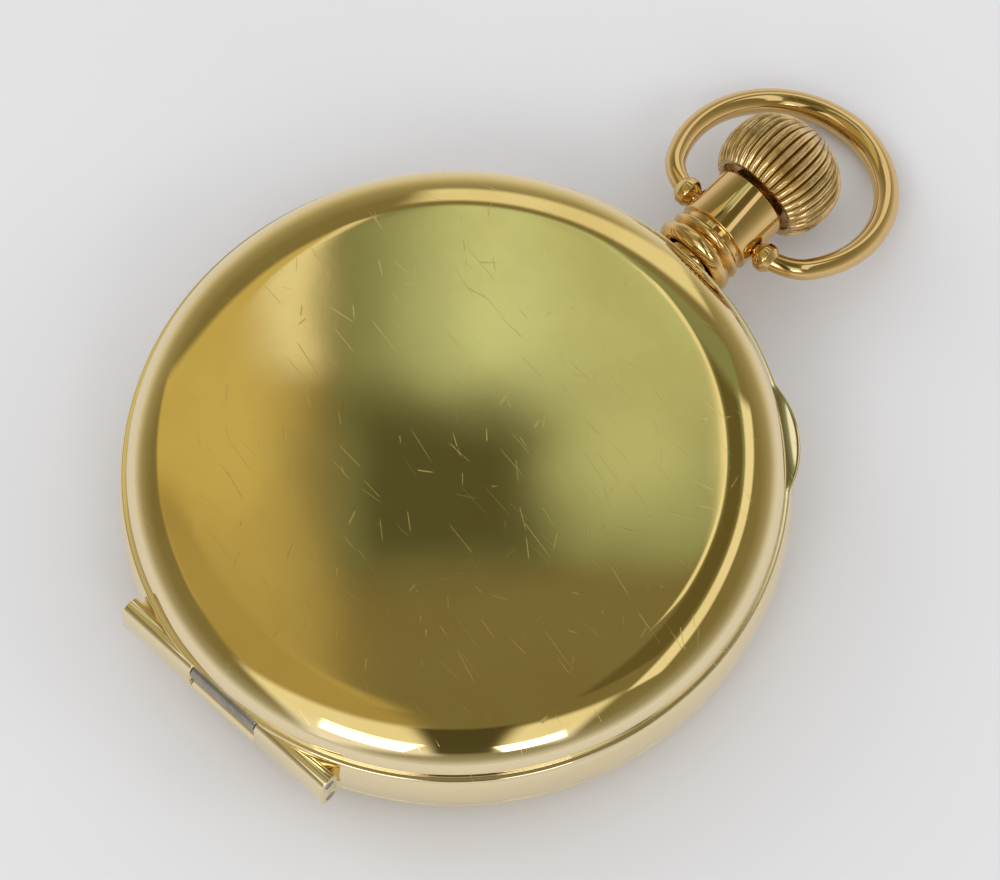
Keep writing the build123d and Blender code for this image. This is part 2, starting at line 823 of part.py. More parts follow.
# Inner dust cover over the movement
with BuildPart() as cuvette:
    cuvette_edge = back_joint + parting_gap
    with BuildSketch(Plane.XZ):
        with BuildLine():
            cuvette_inner_r = cuvette_r - cuvette_wall
            cuvette_foot, cuvette_pole = dome_curve(back_joint, 1, cuvette_r, cuvette_upright_h,
                                                    cuvette_shoulder_w, cuvette_shoulder_h, cuvette_sag)
            inside_foot, inside_pole = dome_curve(back_joint, 1, cuvette_inner_r, cuvette_upright_h,
                                                  cuvette_shoulder_w - cuvette_wall,
                                                  cuvette_shoulder_h - cuvette_wall, cuvette_sag)
            Polyline(cuvette_foot, (cuvette_r, cuvette_edge), (cuvette_inner_r, cuvette_edge), inside_foot)
            Line(inside_pole, cuvette_pole)
        make_face()
    revolve(axis=Axis.Z)
    cuvette_trim_y = cuvette_hinge_y + cuvette_knuckle_r + cuvette_trim_clear
    with Locations((0, cuvette_trim_y, cuvette_edge)):
        Box(2 * cuvette_r, cuvette_r, cuvette_upright_h + cuvette_shoulder_h,
            align=(Align.CENTER, Align.MAX, Align.CENTER), mode=Mode.SUBTRACT)
    with Locations((0, cuvette_hinge_y, cuvette_hinge_z)):
        Box(cuvette_leaf_l, cuvette_leaf_w, cuvette_shoulder_h - cuvette_wall,
            align=(Align.CENTER, Align.MIN, Align.MIN))
    tube_x(0, cuvette_hinge_y, cuvette_hinge_z, cuvette_knuckle_r, cuvette_middle_l - 2 * knuckle_gap)
    tube_x(0, cuvette_hinge_y, cuvette_hinge_z, cuvette_pin_r + pin_clear, cuvette_hinge_l + cut_over,
           mode=Mode.SUBTRACT)
cuvette.part.label = "cuvette"
export_step(cuvette.part, "parts/cuvette.step")

# Bezel snapped on the band, and the crystal in it
crystal_front = front_joint - bezel_drop
with BuildPart() as bezel:
    with BuildSketch(Plane.XZ):
        with BuildLine():
            seat_r = bezel_top_r - bezel_lip_w
            foot_r = bezel_r - bezel_foot_w
            Polyline((bezel_r, front_joint), (bezel_r, front_joint - bezel_foot_h),
                     (bezel_top_r, crystal_front), (seat_r, crystal_front), (seat_r, crystal_back),
                     (seat_r - bezel_shelf_w, crystal_back),
                     (seat_r - bezel_shelf_w, crystal_back + bezel_shelf_h),
                     (bezel_top_r, front_joint - bezel_foot_h - bezel_side_h),
                     (bezel_top_r, dial_front - dial_gap),
                     (foot_r, dial_front - dial_gap), (foot_r, front_joint), close=True)
        make_face()
    revolve(axis=Axis.Z)
bezel.part.label = "bezel"
export_step(bezel.part, "parts/bezel.step")

with BuildPart() as crystal:
    upright(centre_place, (bezel_top_r - bezel_lip_w, crystal_front, crystal_back))
crystal.part.label = "crystal"
export_step(crystal.part, "parts/crystal.step")

# Pendant: the tube that carries crown and bow, turned with two beads and a collar
stem_plane = Plane(origin=(0, 0, stem_z), x_dir=(0, 1, 0), z_dir=(1, 0, 0))
stem_axis = Axis((0, 0, stem_z), (0, 1, 0))
bead_one_end = pendant_y + bead_one_l
bead_two_end = bead_one_end + bead_two_l
with BuildPart() as pendant:
    with BuildSketch(stem_plane):
        with BuildLine():
            Polyline((band_inner_r + cut_over, stem_bore_r), (band_inner_r + cut_over, pendant_neck_r),
                     (pendant_y, pendant_neck_r), (pendant_y, waist_r))
            ThreePointArc((pendant_y, waist_r), (pendant_y + bead_one_l / 2, bead_one_r),
                          (bead_one_end, waist_r))
            ThreePointArc((bead_one_end, waist_r), (bead_one_end + bead_two_l / 2, bead_two_r),
                          (bead_two_end, waist_r))
            Polyline((bead_two_end, waist_r), (bead_two_end + waist_l, waist_r),
                     (bead_two_end + waist_l, collar_r), (pendant_end_y - pendant_edge, neck_end_r),
                     (pendant_end_y, neck_end_r - pendant_edge),
                     (pendant_end_y, pendant_mouth_r), (pendant_end_y - pendant_mouth_l, pendant_mouth_r),
                     (pendant_end_y - pendant_mouth_l, pendant_bore_r), (bead_two_end, pendant_bore_r),
                     (bead_two_end, stem_bore_r), (band_inner_r + cut_over, stem_bore_r))
        make_face()
    revolve(axis=stem_axis)
    tube_x(0, bow_pivot_y, stem_z, bow_pin_r + pin_clear, 4 * collar_r, mode=Mode.SUBTRACT)
pendant.part.label = "pendant"
export_step(pendant.part, "parts/pendant.step")

# Steel sleeve in the pendant, which grips the stem
with BuildPart() as pendant_sleeve:
    sleeve_start = bead_two_end
    sleeve_end = bow_pivot_y - bow_pin_r - sleeve_wall
    with BuildSketch(stem_plane):
        with Locations(((sleeve_start + sleeve_end) / 2, (stem_bore_r + pendant_bore_r) / 2)):
            Rectangle(sleeve_end - sleeve_start, pendant_bore_r - stem_bore_r)
    revolve(axis=stem_axis)
    with Locations((0, sleeve_end, stem_z)):
        Box(screw_slot_w, sleeve_end - sleeve_start, 2 * pendant_bore_r + cut_over, mode=Mode.SUBTRACT)
pendant_sleeve.part.label = "pendant_sleeve"
export_step(pendant_sleeve.part, "parts/pendant_sleeve.step")

# Winding stem with its groove for the setting lever
crown_y = pendant_end_y + crown_gap
stem_end = crown_y + crown_recess_l
with BuildPart() as winding_stem:
    with BuildSketch(stem_plane):
        with BuildLine():
            groove_low = stem_groove_y - stem_groove_w / 2
            groove_high = stem_groove_y + stem_groove_w / 2
            Polyline((winding_pinion_y, 0), (winding_pinion_y, stem_r), (groove_low, stem_r),
                     (groove_low, stem_groove_r), (groove_high, stem_groove_r), (groove_high, stem_r),
                     (stem_end, stem_r), (stem_end, 0), close=True)
        make_face()
    revolve(axis=stem_axis)
    with Locations((0, stem_inner_y, stem_z)):
        Box(stem_square, winding_pinion_y - stem_inner_y, stem_square,
            align=(Align.CENTER, Align.MIN, Align.CENTER))
winding_stem.part.label = "winding_stem"
export_step(winding_stem.part, "parts/winding_stem.step")


def crown_face(radius, y):
    """Cross section of the crown with its ribs, square to the stem."""
    rib_share = 0.22
    depth = flute_depth * radius / crown_r
    points = []
    for rib in range(crown_flutes):
        for share, reach in ((-0.5, radius - depth), (-rib_share, radius), (rib_share, radius)):
            turn = radians(360 * (rib + share) / crown_flutes)
            points.append((reach * cos(turn), reach * sin(turn)))
    with BuildSketch(Plane(origin=(0, y, stem_z), x_dir=(1, 0, 0), z_dir=(0, 1, 0))) as face:
        with BuildLine():
            Polyline(*points, close=True)
        make_face()
    return face.sketch


# Ribbed onion crown: sections along the stem, as shares of its length and largest radius
crown_shares = ((0, crown_mouth_r / crown_r), (0.18, 0.955), (0.42, 1), (0.68, 0.92), (0.88, 0.65),
                (1, crown_button_r / crown_r))
with BuildPart() as crown:
    for along_share, reach_share in crown_shares:
        add(crown_face(crown_r * reach_share, crown_y + crown_l * along_share))
    loft()
    with BuildSketch(stem_plane):
        with Locations((crown_y + crown_recess_l / 2, crown_recess_r / 2)):
            Rectangle(crown_recess_l, crown_recess_r)
    revolve(axis=stem_axis, mode=Mode.SUBTRACT)
    core_l = crown_core_l + crown_recess_l
    core_y = crown_y - crown_core_l + core_l / 2
    with BuildSketch(stem_plane):
        with Locations((core_y, crown_core_r / 2)):
            Rectangle(core_l, crown_core_r)
    revolve(axis=stem_axis)
    with BuildSketch(stem_plane):
        with Locations((core_y, stem_r / 2)):
            Rectangle(core_l, stem_r)
    revolve(axis=stem_axis, mode=Mode.SUBTRACT)
crown.part.label = "crown"
export_step(crown.part, "parts/crown.step")

# Bow: a tapered oval ring that hangs from two barrel-shaped bosses and rests its far end on the table
bow_reach = bow_centre + bow_half_l
bow_turns = (210, 180, 135, 90, 45, 0, -30)
bow_tilt = degrees(asin((stem_z - bow_apex_r - bow_rest_gap) / bow_reach))
bow_plane = Plane(origin=(0, bow_pivot_y, stem_z), x_dir=(1, 0, 0),
                  z_dir=(0, sin(radians(bow_tilt)), cos(radians(bow_tilt))))
with BuildPart() as bow:
    with BuildLine(bow_plane) as bow_path:
        Spline((-bow_end_x, 0),
               *((bow_half_w * cos(radians(turn)), bow_centre + bow_half_l * sin(radians(turn)))
                 for turn in bow_turns),
               (bow_end_x, 0))
    for along_share in (0, 0.25, 0.5, 0.75, 1):
        with BuildSketch(Plane(origin=bow_path.line @ along_share, x_dir=bow_plane.z_dir,
                               z_dir=bow_path.line % along_share)):
            Circle(bow_apex_r - (bow_apex_r - bow_end_r) * abs(1 - 2 * along_share))
    sweep(multisection=True)
    for bow_side in (-1, 1):
        boss_start = collar_r + bow_boss_gap
        boss_end = boss_start + bow_boss_l
        with BuildSketch(Plane.XY.offset(stem_z)):
            with BuildLine():
                boss_arc = ThreePointArc(*((bow_side * x, bow_pivot_y + r) for x, r in (
                    (boss_start, bow_boss_end_r), ((boss_start + boss_end) / 2, bow_boss_r),
                    (boss_end, bow_boss_end_r))))
                Polyline(boss_arc @ 1, (bow_side * boss_end, bow_pivot_y),
                         (bow_side * boss_start, bow_pivot_y), boss_arc @ 0)
            make_face()
        revolve(axis=Axis((0, bow_pivot_y, stem_z), (1, 0, 0)))
        tube_x(bow_side * (boss_start - bow_pin_l / 2 + bow_boss_l / 2), bow_pivot_y, stem_z, bow_pin_r,
               bow_pin_l + bow_boss_l)
bow.part.label = "bow"
export_step(bow.part, "parts/bow.step")

# Main plate, with recesses for the motion work and the way of the stem
hour_tip = tip_radius(hour_teeth, hour_module, wheel_tooth_share)
minute_tip = tip_radius(minute_teeth, minute_module, wheel_tooth_share)
setting_tip = tip_radius(setting_teeth, setting_module, winding_tooth_share)
lower_jewels = (third_place, fourth_place, escape_place, pallet_place, balance_place)
upper_jewels = (third_place, fourth_place, escape_place)
bridge_r = movement_r - bridge_edge
bridge_screw_places = [at_turn((bridge_foot_r + bridge_r) / 2, turn) for turn in bridge_screw_turns]
case_screw_places = [at_turn(movement_r - case_screw_inset, turn)
                     for turn in (case_screw_angle, case_screw_angle + 180)]
pallet_turn = bearing(pallet_place, balance_place)


def beside_pallet(x, y):
    """Place given from the pallet arbor, x towards the balance."""
    return (pallet_x + x * cos(radians(pallet_turn)) - y * sin(radians(pallet_turn)),
            pallet_y + x * sin(radians(pallet_turn)) + y * cos(radians(pallet_turn)))


pallet_foot_place = beside_pallet(pallet_foot_x, pallet_foot_y)
with BuildPart() as main_plate:
    upright(centre_place, (movement_r, plate_front, plate_back))
    pocket(centre_place, hour_tip + recess_clear, plate_front, recess_floor)
    pocket(minute_place, minute_tip + recess_clear, plate_front, recess_floor)
    pocket(setting_place, setting_tip + recess_clear, plate_front, recess_floor)
    upright(minute_place, (arbor_r, plate_front + small_gap, plate_back))
    upright(setting_place, (arbor_r, plate_front + small_gap, plate_back))
    with Locations((0, stem_way_end_y, plate_front)):
        Box(stem_way_w, movement_r, plate_h, align=(Align.CENTER, Align.MIN, Align.MIN), mode=Mode.SUBTRACT)
    for arbor_place in (centre_place, barrel_place):
        bore(arbor_place, centre_arbor_r + movement_clear, plate_front, plate_back)
    for jewel_place in lower_jewels:
        bore(jewel_place, jewel_r, plate_front, plate_back)
    for screw_place in (*bridge_screw_places, *case_screw_places, cock_foot_place, pallet_foot_place,
                        lever_pivot, yoke_pivot):
        bore(screw_place, screw_shank_r, plate_front, plate_back)
main_plate.part.label = "main_plate"
export_step(main_plate.part, "parts/main_plate.step")

# Dial with its sunk seconds circle
with BuildPart() as dial:
    upright(centre_place, (movement_r - dial_inset, dial_front, plate_front))
    pocket(fourth_place, seconds_dial_r, dial_front, dial_front + seconds_sink)
    bore(centre_place, hour_pipe_r + dial_hole_clear, dial_front, plate_front)
    bore(fourth_place, pivot_r + dial_hole_clear, dial_front, plate_front)
dial.part.label = "dial"
export_step(dial.part, "parts/dial.step")

# Jewels: a ring of stone at each pivot, in the plate, the bridge and the two cocks
with BuildPart() as jewels:
    for jewel_place in lower_jewels:
        upright(jewel_place, (jewel_r, plate_back - jewel_h, plate_back))
    for jewel_place in upper_jewels:
        upright(jewel_place, (jewel_r, bridge_low, bridge_low + jewel_h))
    upright(balance_place, (jewel_r, cock_low, cock_low + jewel_h))
    upright(pallet_place, (jewel_r, pallet_cock_low, pallet_cock_low + jewel_h))
    for jewel_place in lower_jewels:
        bore(jewel_place, pivot_r + pivot_clear, plate_front, cock_high)
jewels.part.label = "jewels"
export_step(jewels.part, "parts/jewels.step")


def bridge_face(inner_r, split_y, above, left_x):
    """Outline of a bridge: a ring or disc beside the split, with the balance's way cut out."""
    half_plane = Align.MAX if above else Align.MIN
    with BuildSketch() as face:
        Circle(bridge_r)
        if inner_r > 0:
            Circle(inner_r, mode=Mode.SUBTRACT)
        with Locations((0, split_y)):
            Rectangle(2 * movement_r, 2 * movement_r, align=(Align.CENTER, half_plane), mode=Mode.SUBTRACT)
        with Locations((left_x, 0)):
            Rectangle(2 * movement_r, 2 * movement_r, align=(Align.MAX, Align.CENTER), mode=Mode.SUBTRACT)
        with Locations(balance_place):
            Circle(balance_r + timing_screw_l + balance_clear, mode=Mode.SUBTRACT)
    return face.sketch


# Bridge over the barrel, and bridge over the train
with BuildPart() as barrel_bridge:
    raised(bridge_face(bridge_foot_r, bridge_split_y, True, -movement_r), plate_back, bridge_low)
    with Locations((0, 0, plate_back)):
        Box(2 * stem_way_w, 2 * movement_r, train_gap, align=STAND, mode=Mode.SUBTRACT)
    pocket(case_screw_places[0], case_screw_head_r + movement_clear, plate_back, bridge_low)
    raised(bridge_face(0, bridge_split_y, True, -movement_r), bridge_low, bridge_top)
    bore(barrel_place, centre_arbor_r + movement_clear, bridge_low, bridge_top)
    for screw_place in (crown_wheel_place, click_place, *bridge_screw_places[:2]):
        bore(screw_place, screw_shank_r, bridge_low, bridge_top)
    for screw_place in bridge_screw_places[:2]:
        bore(screw_place, screw_shank_r, plate_back, bridge_low)
barrel_bridge.part.label = "barrel_bridge"
export_step(barrel_bridge.part, "parts/barrel_bridge.step")

with BuildPart() as train_bridge:
    train_split_y = bridge_split_y - bridge_split_gap
    raised(bridge_face(bridge_foot_r, train_split_y, False, train_bridge_left_x), plate_back, bridge_low)
    raised(bridge_face(0, train_split_y, False, train_bridge_left_x), bridge_low, bridge_top)
    bore(centre_place, centre_arbor_r + movement_clear, bridge_low, bridge_top)
    for jewel_place in upper_jewels:
        bore(jewel_place, jewel_r, bridge_low, bridge_top)
    for screw_place in bridge_screw_places[2:]:
        bore(screw_place, screw_shank_r, plate_back, bridge_top)
train_bridge.part.label = "train_bridge"
export_step(train_bridge.part, "parts/train_bridge.step")

# Balance cock and pallet cock, each an arm on its own foot
cock_seat_z = cock_high - screw_head_h
with BuildPart() as balance_cock:
    upright(cock_foot_place, (cock_foot_size_r, plate_back, cock_high))
    raised(slot_face(cock_foot_place, balance_place, cock_w), cock_low, cock_high)
    bore(balance_place, jewel_r, cock_low, cock_high)
    bore(cock_foot_place, screw_shank_r, plate_back, cock_high)
    pocket(cock_foot_place, screw_head_r + pin_clear, cock_seat_z, cock_high)
balance_cock.part.label = "balance_cock"
export_step(balance_cock.part, "parts/balance_cock.step")

with BuildPart() as pallet_cock:
    upright(pallet_foot_place, (pallet_foot_r, plate_back, pallet_cock_high))
    raised(slot_face(pallet_foot_place, pallet_place, 2 * (jewel_r + small_gap)),
           pallet_cock_low, pallet_cock_high)
    bore(pallet_place, jewel_r, pallet_cock_low, pallet_cock_high)
    bore(pallet_foot_place, screw_shank_r, plate_back, pallet_cock_high)
pallet_cock.part.label = "pallet_cock"
export_step(pallet_cock.part, "parts/pallet_cock.step")

# Screws that hold bridges and cocks, and the two that hold the movement in the case
screw_end_z = plate_front + small_gap
with BuildPart() as bridge_screws:
    screws(bridge_screw_places, bridge_top, bridge_top - screw_end_z)
    screws([cock_foot_place], cock_seat_z, cock_seat_z - screw_end_z)
    screws([pallet_foot_place], pallet_cock_high, pallet_cock_high - screw_end_z)
bridge_screws.part.label = "bridge_screws"
export_step(bridge_screws.part, "parts/bridge_screws.step")

with BuildPart() as case_screws:
    for screw_place in case_screw_places:
        upright(screw_place, (case_screw_head_r, plate_back, plate_back + screw_head_h),
                (screw_shank_r, screw_end_z, plate_back))
        with Locations((screw_place[0], screw_place[1], plate_back + screw_head_h - screw_slot_h)):
            Box(2 * case_screw_head_r, screw_slot_w, 2 * screw_slot_h, align=STAND, mode=Mode.SUBTRACT)
case_screws.part.label = "case_screws"
export_step(case_screws.part, "parts/case_screws.step")

# Mainspring barrel with its lid, spring and arbor
drum_r = root_radius(barrel_teeth, barrel_module, wheel_tooth_share) - barrel_wall / 2
drum_inner_r = drum_r - barrel_wall
with BuildPart() as barrel:
    with BuildSketch(Plane.XY.offset(barrel_z)):
        with Locations(facing(barrel_place, centre_place, barrel_teeth)):
            add(toothed_face(barrel_teeth, barrel_module, wheel_tooth_share))
            Circle(drum_inner_r, mode=Mode.SUBTRACT)
    extrude(amount=barrel_rim_h)
    with BuildSketch(Plane.XY.offset(barrel_z + barrel_rim_h)):
        with Locations(barrel_place):
            Circle(drum_r)
            Circle(drum_inner_r, mode=Mode.SUBTRACT)
    extrude(amount=barrel_h - barrel_rim_h)
    with BuildSketch(Plane.XY.offset(barrel_z)):
        with Locations(barrel_place):
            Circle(drum_inner_r)
            Circle(centre_arbor_r + movement_clear, mode=Mode.SUBTRACT)
    extrude(amount=barrel_floor)
barrel.part.label = "barrel"
export_step(barrel.part, "parts/barrel.step")

with BuildPart() as barrel_lid:
    upright(barrel_place, (drum_inner_r, barrel_top - barrel_lid_h, barrel_top))
    bore(barrel_place, centre_arbor_r + movement_clear, barrel_z, barrel_top)
barrel_lid.part.label = "barrel_lid"
export_step(barrel_lid.part, "parts/barrel_lid.step")

# The mainspring hooks on the drum's wall by its outer end
spring_low = barrel_z + barrel_floor + small_gap
spring_high = barrel_top - barrel_lid_h - small_gap
mainspring_out_r = drum_inner_r - mainspring_thick
with BuildSketch() as mainspring_outline:
    add(spiral_face(mainspring_out_r - mainspring_turns * mainspring_pitch, mainspring_pitch,
                    mainspring_turns, mainspring_thick))
    with Locations((mainspring_out_r, 0)):
        Rectangle(3 * mainspring_thick, mainspring_thick)
    Circle(drum_inner_r, mode=Mode.INTERSECT)
with BuildPart() as mainspring:
    with Locations((barrel_x, barrel_y, spring_low)):
        add(mainspring_outline.sketch)
    extrude(amount=spring_high - spring_low)
mainspring.part.label = "mainspring"
export_step(mainspring.part, "parts/mainspring.step")

with BuildPart() as barrel_arbor:
    upright(barrel_place, (centre_arbor_r, plate_front + small_gap, bridge_top - small_gap),
            (barrel_arbor_r, spring_low, spring_high))
barrel_arbor.part.label = "barrel_arbor"
export_step(barrel_arbor.part, "parts/barrel_arbor.step")

# Winding wheels under the barrel bridge
with BuildPart() as ratchet_wheel:
    with BuildSketch(Plane.XY.offset(winding_wheel_z)):
        with Locations(facing(barrel_place, crown_wheel_place, ratchet_teeth)):
            add(toothed_face(ratchet_teeth, winding_module, winding_tooth_share))
            Circle(centre_arbor_r, mode=Mode.SUBTRACT)
    extrude(amount=winding_wheel_h)
ratchet_wheel.part.label = "ratchet_wheel"
export_step(ratchet_wheel.part, "parts/ratchet_wheel.step")

# The crown wheel has a second ring of teeth on its face, driven by the winding pinion
winding_pitch_r = face_module * winding_leaves / 2
face_tip_z = stem_z + winding_pitch_r + leaf_tooth_share[0] * face_module - face_bite
face_gap_w = face_module * radians(180) * (1 - 2 * wheel_tooth_share[3] + 2 * wheel_tooth_share[2])
with BuildPart() as crown_wheel:
    with BuildSketch(Plane.XY.offset(face_tip_z)):
        with Locations(crown_wheel_place):
            Circle(face_ring_r + face_ring_w / 2)
            Circle(face_ring_r - face_ring_w / 2, mode=Mode.SUBTRACT)
    extrude(amount=winding_wheel_z - face_tip_z)
    with BuildSketch(Plane.XY.offset(face_tip_z)):
        with Locations(crown_wheel_place):
            with PolarLocations(face_ring_r, crown_face_teeth, start_angle=90):
                Rectangle(2 * face_ring_w, face_gap_w)
    extrude(amount=face_tooth_h, mode=Mode.SUBTRACT)
    with BuildSketch(Plane.XY.offset(winding_wheel_z)):
        with Locations(facing(crown_wheel_place, barrel_place, crown_wheel_teeth, gap=True)):
            add(toothed_face(crown_wheel_teeth, winding_module, winding_tooth_share))
            Circle(crown_hub_r + pin_clear, mode=Mode.SUBTRACT)
    extrude(amount=winding_wheel_h)
crown_wheel.part.label = "crown_wheel"
export_step(crown_wheel.part, "parts/crown_wheel.step")

# Click that holds the ratchet wheel, and its spring
click_reach = (span(click_place, barrel_place) - winding_gap
               - tip_radius(ratchet_teeth, winding_module, winding_tooth_share))
with BuildPart() as click:
    with BuildSketch(Plane.XY.offset(winding_wheel_z)):
        with Locations(Location((click_x, click_y, 0), (0, 0, bearing(click_place, barrel_place)))):
            Circle(hub_r)
            add(outline([(0, -hub_r), (click_reach, -hub_r / 2), (click_reach, 0), (0, hub_r)]))
            Circle(screw_shank_r + pin_clear, mode=Mode.SUBTRACT)
    extrude(amount=winding_wheel_h)
click.part.label = "click"
export_step(click.part, "parts/click.step")

click_spring_r = span(centre_place, click_place) + hub_r + small_gap
with BuildPart() as click_spring:
    raised(sector_face(click_spring_r, click_spring_r + click_spring_w, click_spring_turns),
           winding_wheel_z, winding_wheel_top)
    upright(at_turn(click_spring_r, click_spring_turns[1]), (click_stud_r, winding_wheel_z, bridge_low))
click_spring.part.label = "click_spring"
export_step(click_spring.part, "parts/click_spring.step")


def hung_screw(place, shoulder_r, head_r):
    """Adds a shouldered screw that hangs from the barrel bridge and carries a winding piece."""
    head_top = winding_wheel_z - pin_clear
    upright(place, (shoulder_r, head_top, bridge_low), (screw_shank_r, bridge_low, bridge_top - small_gap),
            (head_r, head_top - small_gap, head_top))


# Screws that the winding and setting pieces turn on
lever_z = stem_z + stem_r + small_gap
yoke_z = plate_back + small_gap
with BuildPart() as winding_screws:
    hung_screw(crown_wheel_place, crown_hub_r, crown_head_r)
    hung_screw(click_place, screw_shank_r, hub_r)
    for screw_place, piece_z in ((lever_pivot, lever_z), (yoke_pivot, yoke_z)):
        head_z = piece_z + lever_h + pin_clear
        upright(screw_place, (screw_shank_r, screw_end_z, head_z),
                (keyless_head_r, head_z, head_z + small_gap))
winding_screws.part.label = "winding_screws"
export_step(winding_screws.part, "parts/winding_screws.step")


def wheel_at(place, mate, teeth, module, bore_r, level):
    """Adds a spoked wheel with a tooth that points at its mate."""
    with BuildSketch(Plane.XY.offset(level)) as face:
        with Locations(facing(place, mate, teeth)):
            add(spoked_wheel(teeth, module, bore_r))
    add(face.sketch)
    extrude(amount=wheel_h)


def pinion_at(place, mate, leaves, module, low, high, bore_r=0.0):
    """Adds pinion leaves with a gap that points at the mate."""
    with BuildSketch(Plane.XY.offset(low)) as face:
        with Locations(facing(place, mate, leaves, gap=True)):
            add(toothed_face(leaves, module, leaf_tooth_share))
            if bore_r > 0:
                Circle(bore_r, mode=Mode.SUBTRACT)
    add(face.sketch)
    extrude(amount=high - low)


def arbor_steps(place, top):
    """Adds an arbor between the plate and its upper bearing, with a pivot at each end."""
    upright(place, (arbor_r, plate_back + small_gap / 2, top - small_gap / 2),
            (pivot_r, plate_back - jewel_h, top + jewel_h))


# Going train: wheels of brass on arbors of steel
with BuildPart() as centre_wheel:
    wheel_at(centre_place, third_place, centre_teeth, centre_module, centre_arbor_r, centre_wheel_z)
centre_wheel.part.label = "centre_wheel"
export_step(centre_wheel.part, "parts/centre_wheel.step")

with BuildPart() as centre_arbor:
    pinion_at(centre_place, barrel_place, centre_leaves, barrel_module, barrel_z - small_gap / 2,
              barrel_z + barrel_rim_h + small_gap)
    upright(centre_place, (centre_arbor_r, cannon_tip_z + small_gap, bridge_top - small_gap))
centre_arbor.part.label = "centre_arbor"
export_step(centre_arbor.part, "parts/centre_arbor.step")

with BuildPart() as third_wheel:
    wheel_at(third_place, fourth_place, third_teeth, third_module, arbor_r, third_wheel_z)
third_wheel.part.label = "third_wheel"
export_step(third_wheel.part, "parts/third_wheel.step")

with BuildPart() as third_arbor:
    pinion_at(third_place, centre_place, third_leaves, centre_module, centre_wheel_z - small_gap / 2,
              centre_wheel_z + wheel_h + small_gap / 2)
    arbor_steps(third_place, bridge_low)
third_arbor.part.label = "third_arbor"
export_step(third_arbor.part, "parts/third_arbor.step")

with BuildPart() as fourth_wheel:
    wheel_at(fourth_place, escape_place, fourth_teeth, fourth_module, arbor_r, fourth_wheel_z)
fourth_wheel.part.label = "fourth_wheel"
export_step(fourth_wheel.part, "parts/fourth_wheel.step")

with BuildPart() as fourth_arbor:
    pinion_at(fourth_place, third_place, fourth_leaves, third_module, third_wheel_z - small_gap,
              third_wheel_z + wheel_h + small_gap)
    arbor_steps(fourth_place, bridge_low)
    upright(fourth_place, (pivot_r, seconds_hand_z, plate_back))
fourth_arbor.part.label = "fourth_arbor"
export_step(fourth_arbor.part, "parts/fourth_arbor.step")

# Escape wheel with leaning teeth: turn in tooth pitches, and reach as a share of the tip radius
escape_tooth_shares = ((0, 0.76), (0.25, 0.8), (0.42, 1), (0.5, 0.99), (0.62, 0.78))
with BuildPart() as escape_wheel:
    with BuildSketch(Plane.XY.offset(escape_wheel_z)):
        escape_root_r = escape_r * escape_tooth_shares[0][1]
        with Locations(escape_place):
            add(outline([at_turn(escape_r * reach_share, 360 * (tooth + turn_share) / escape_teeth)
                         for tooth in range(escape_teeth)
                         for turn_share, reach_share in escape_tooth_shares]))
            Circle(escape_root_r - rim_w / 2, mode=Mode.SUBTRACT)
            Circle(hub_r)
            with PolarLocations(0, spokes):
                Rectangle(escape_root_r - rim_w / 4, spoke_w / 2, align=(Align.MIN, Align.CENTER))
            Circle(arbor_r, mode=Mode.SUBTRACT)
    extrude(amount=wheel_h)
escape_wheel.part.label = "escape_wheel"
export_step(escape_wheel.part, "parts/escape_wheel.step")

with BuildPart() as escape_arbor:
    pinion_at(escape_place, fourth_place, escape_leaves, fourth_module, fourth_wheel_z - small_gap,
              fourth_wheel_z + wheel_h + small_gap)
    arbor_steps(escape_place, bridge_low)
escape_arbor.part.label = "escape_arbor"
export_step(escape_arbor.part, "parts/escape_arbor.step")

# Motion work in the recess under the dial
minute_wheel_z = cannon_z + small_gap / 2
with BuildPart() as cannon_pinion:
    pinion_at(centre_place, minute_place, cannon_leaves, minute_module, cannon_z, cannon_z + 2 * wheel_h)
    upright(centre_place, (cannon_r, cannon_tip_z, cannon_z))
    bore(centre_place, centre_arbor_r, cannon_tip_z, cannon_z + 2 * wheel_h)
cannon_pinion.part.label = "cannon_pinion"
export_step(cannon_pinion.part, "parts/cannon_pinion.step")

with BuildPart() as hour_wheel:
    wheel_at(centre_place, minute_place, hour_teeth, hour_module, cannon_r + pin_clear, hour_wheel_z)
    upright(centre_place, (hour_pipe_r, hour_hand_z, hour_wheel_z))
    pocket(centre_place, cannon_r + pin_clear, hour_hand_z, hour_wheel_z)
hour_wheel.part.label = "hour_wheel"
export_step(hour_wheel.part, "parts/hour_wheel.step")

with BuildPart() as minute_wheel:
    wheel_at(minute_place, centre_place, minute_teeth, minute_module, arbor_r + pin_clear, minute_wheel_z)
    pinion_at(minute_place, centre_place, minute_leaves, hour_module, plate_front + small_gap / 2,
              minute_wheel_z, arbor_r + pin_clear)
minute_wheel.part.label = "minute_wheel"
export_step(minute_wheel.part, "parts/minute_wheel.step")

# The setting wheel has a gap where the minute wheel has a tooth beside the line of centres
minute_mates_turn = bearing(minute_place, centre_place) - bearing(minute_place, setting_place)
minute_offset = minute_mates_turn * minute_teeth / 360
setting_turn = bearing(setting_place, minute_place) + (0.5 - minute_offset) * 360 / setting_teeth
with BuildPart() as setting_wheel:
    with BuildSketch(Plane.XY.offset(minute_wheel_z)):
        with Locations(Location((setting_x, setting_y, 0), (0, 0, setting_turn))):
            add(toothed_face(setting_teeth, setting_module, winding_tooth_share))
            Circle(arbor_r + pin_clear, mode=Mode.SUBTRACT)
    extrude(amount=wheel_h)
setting_wheel.part.label = "setting_wheel"
export_step(setting_wheel.part, "parts/setting_wheel.step")


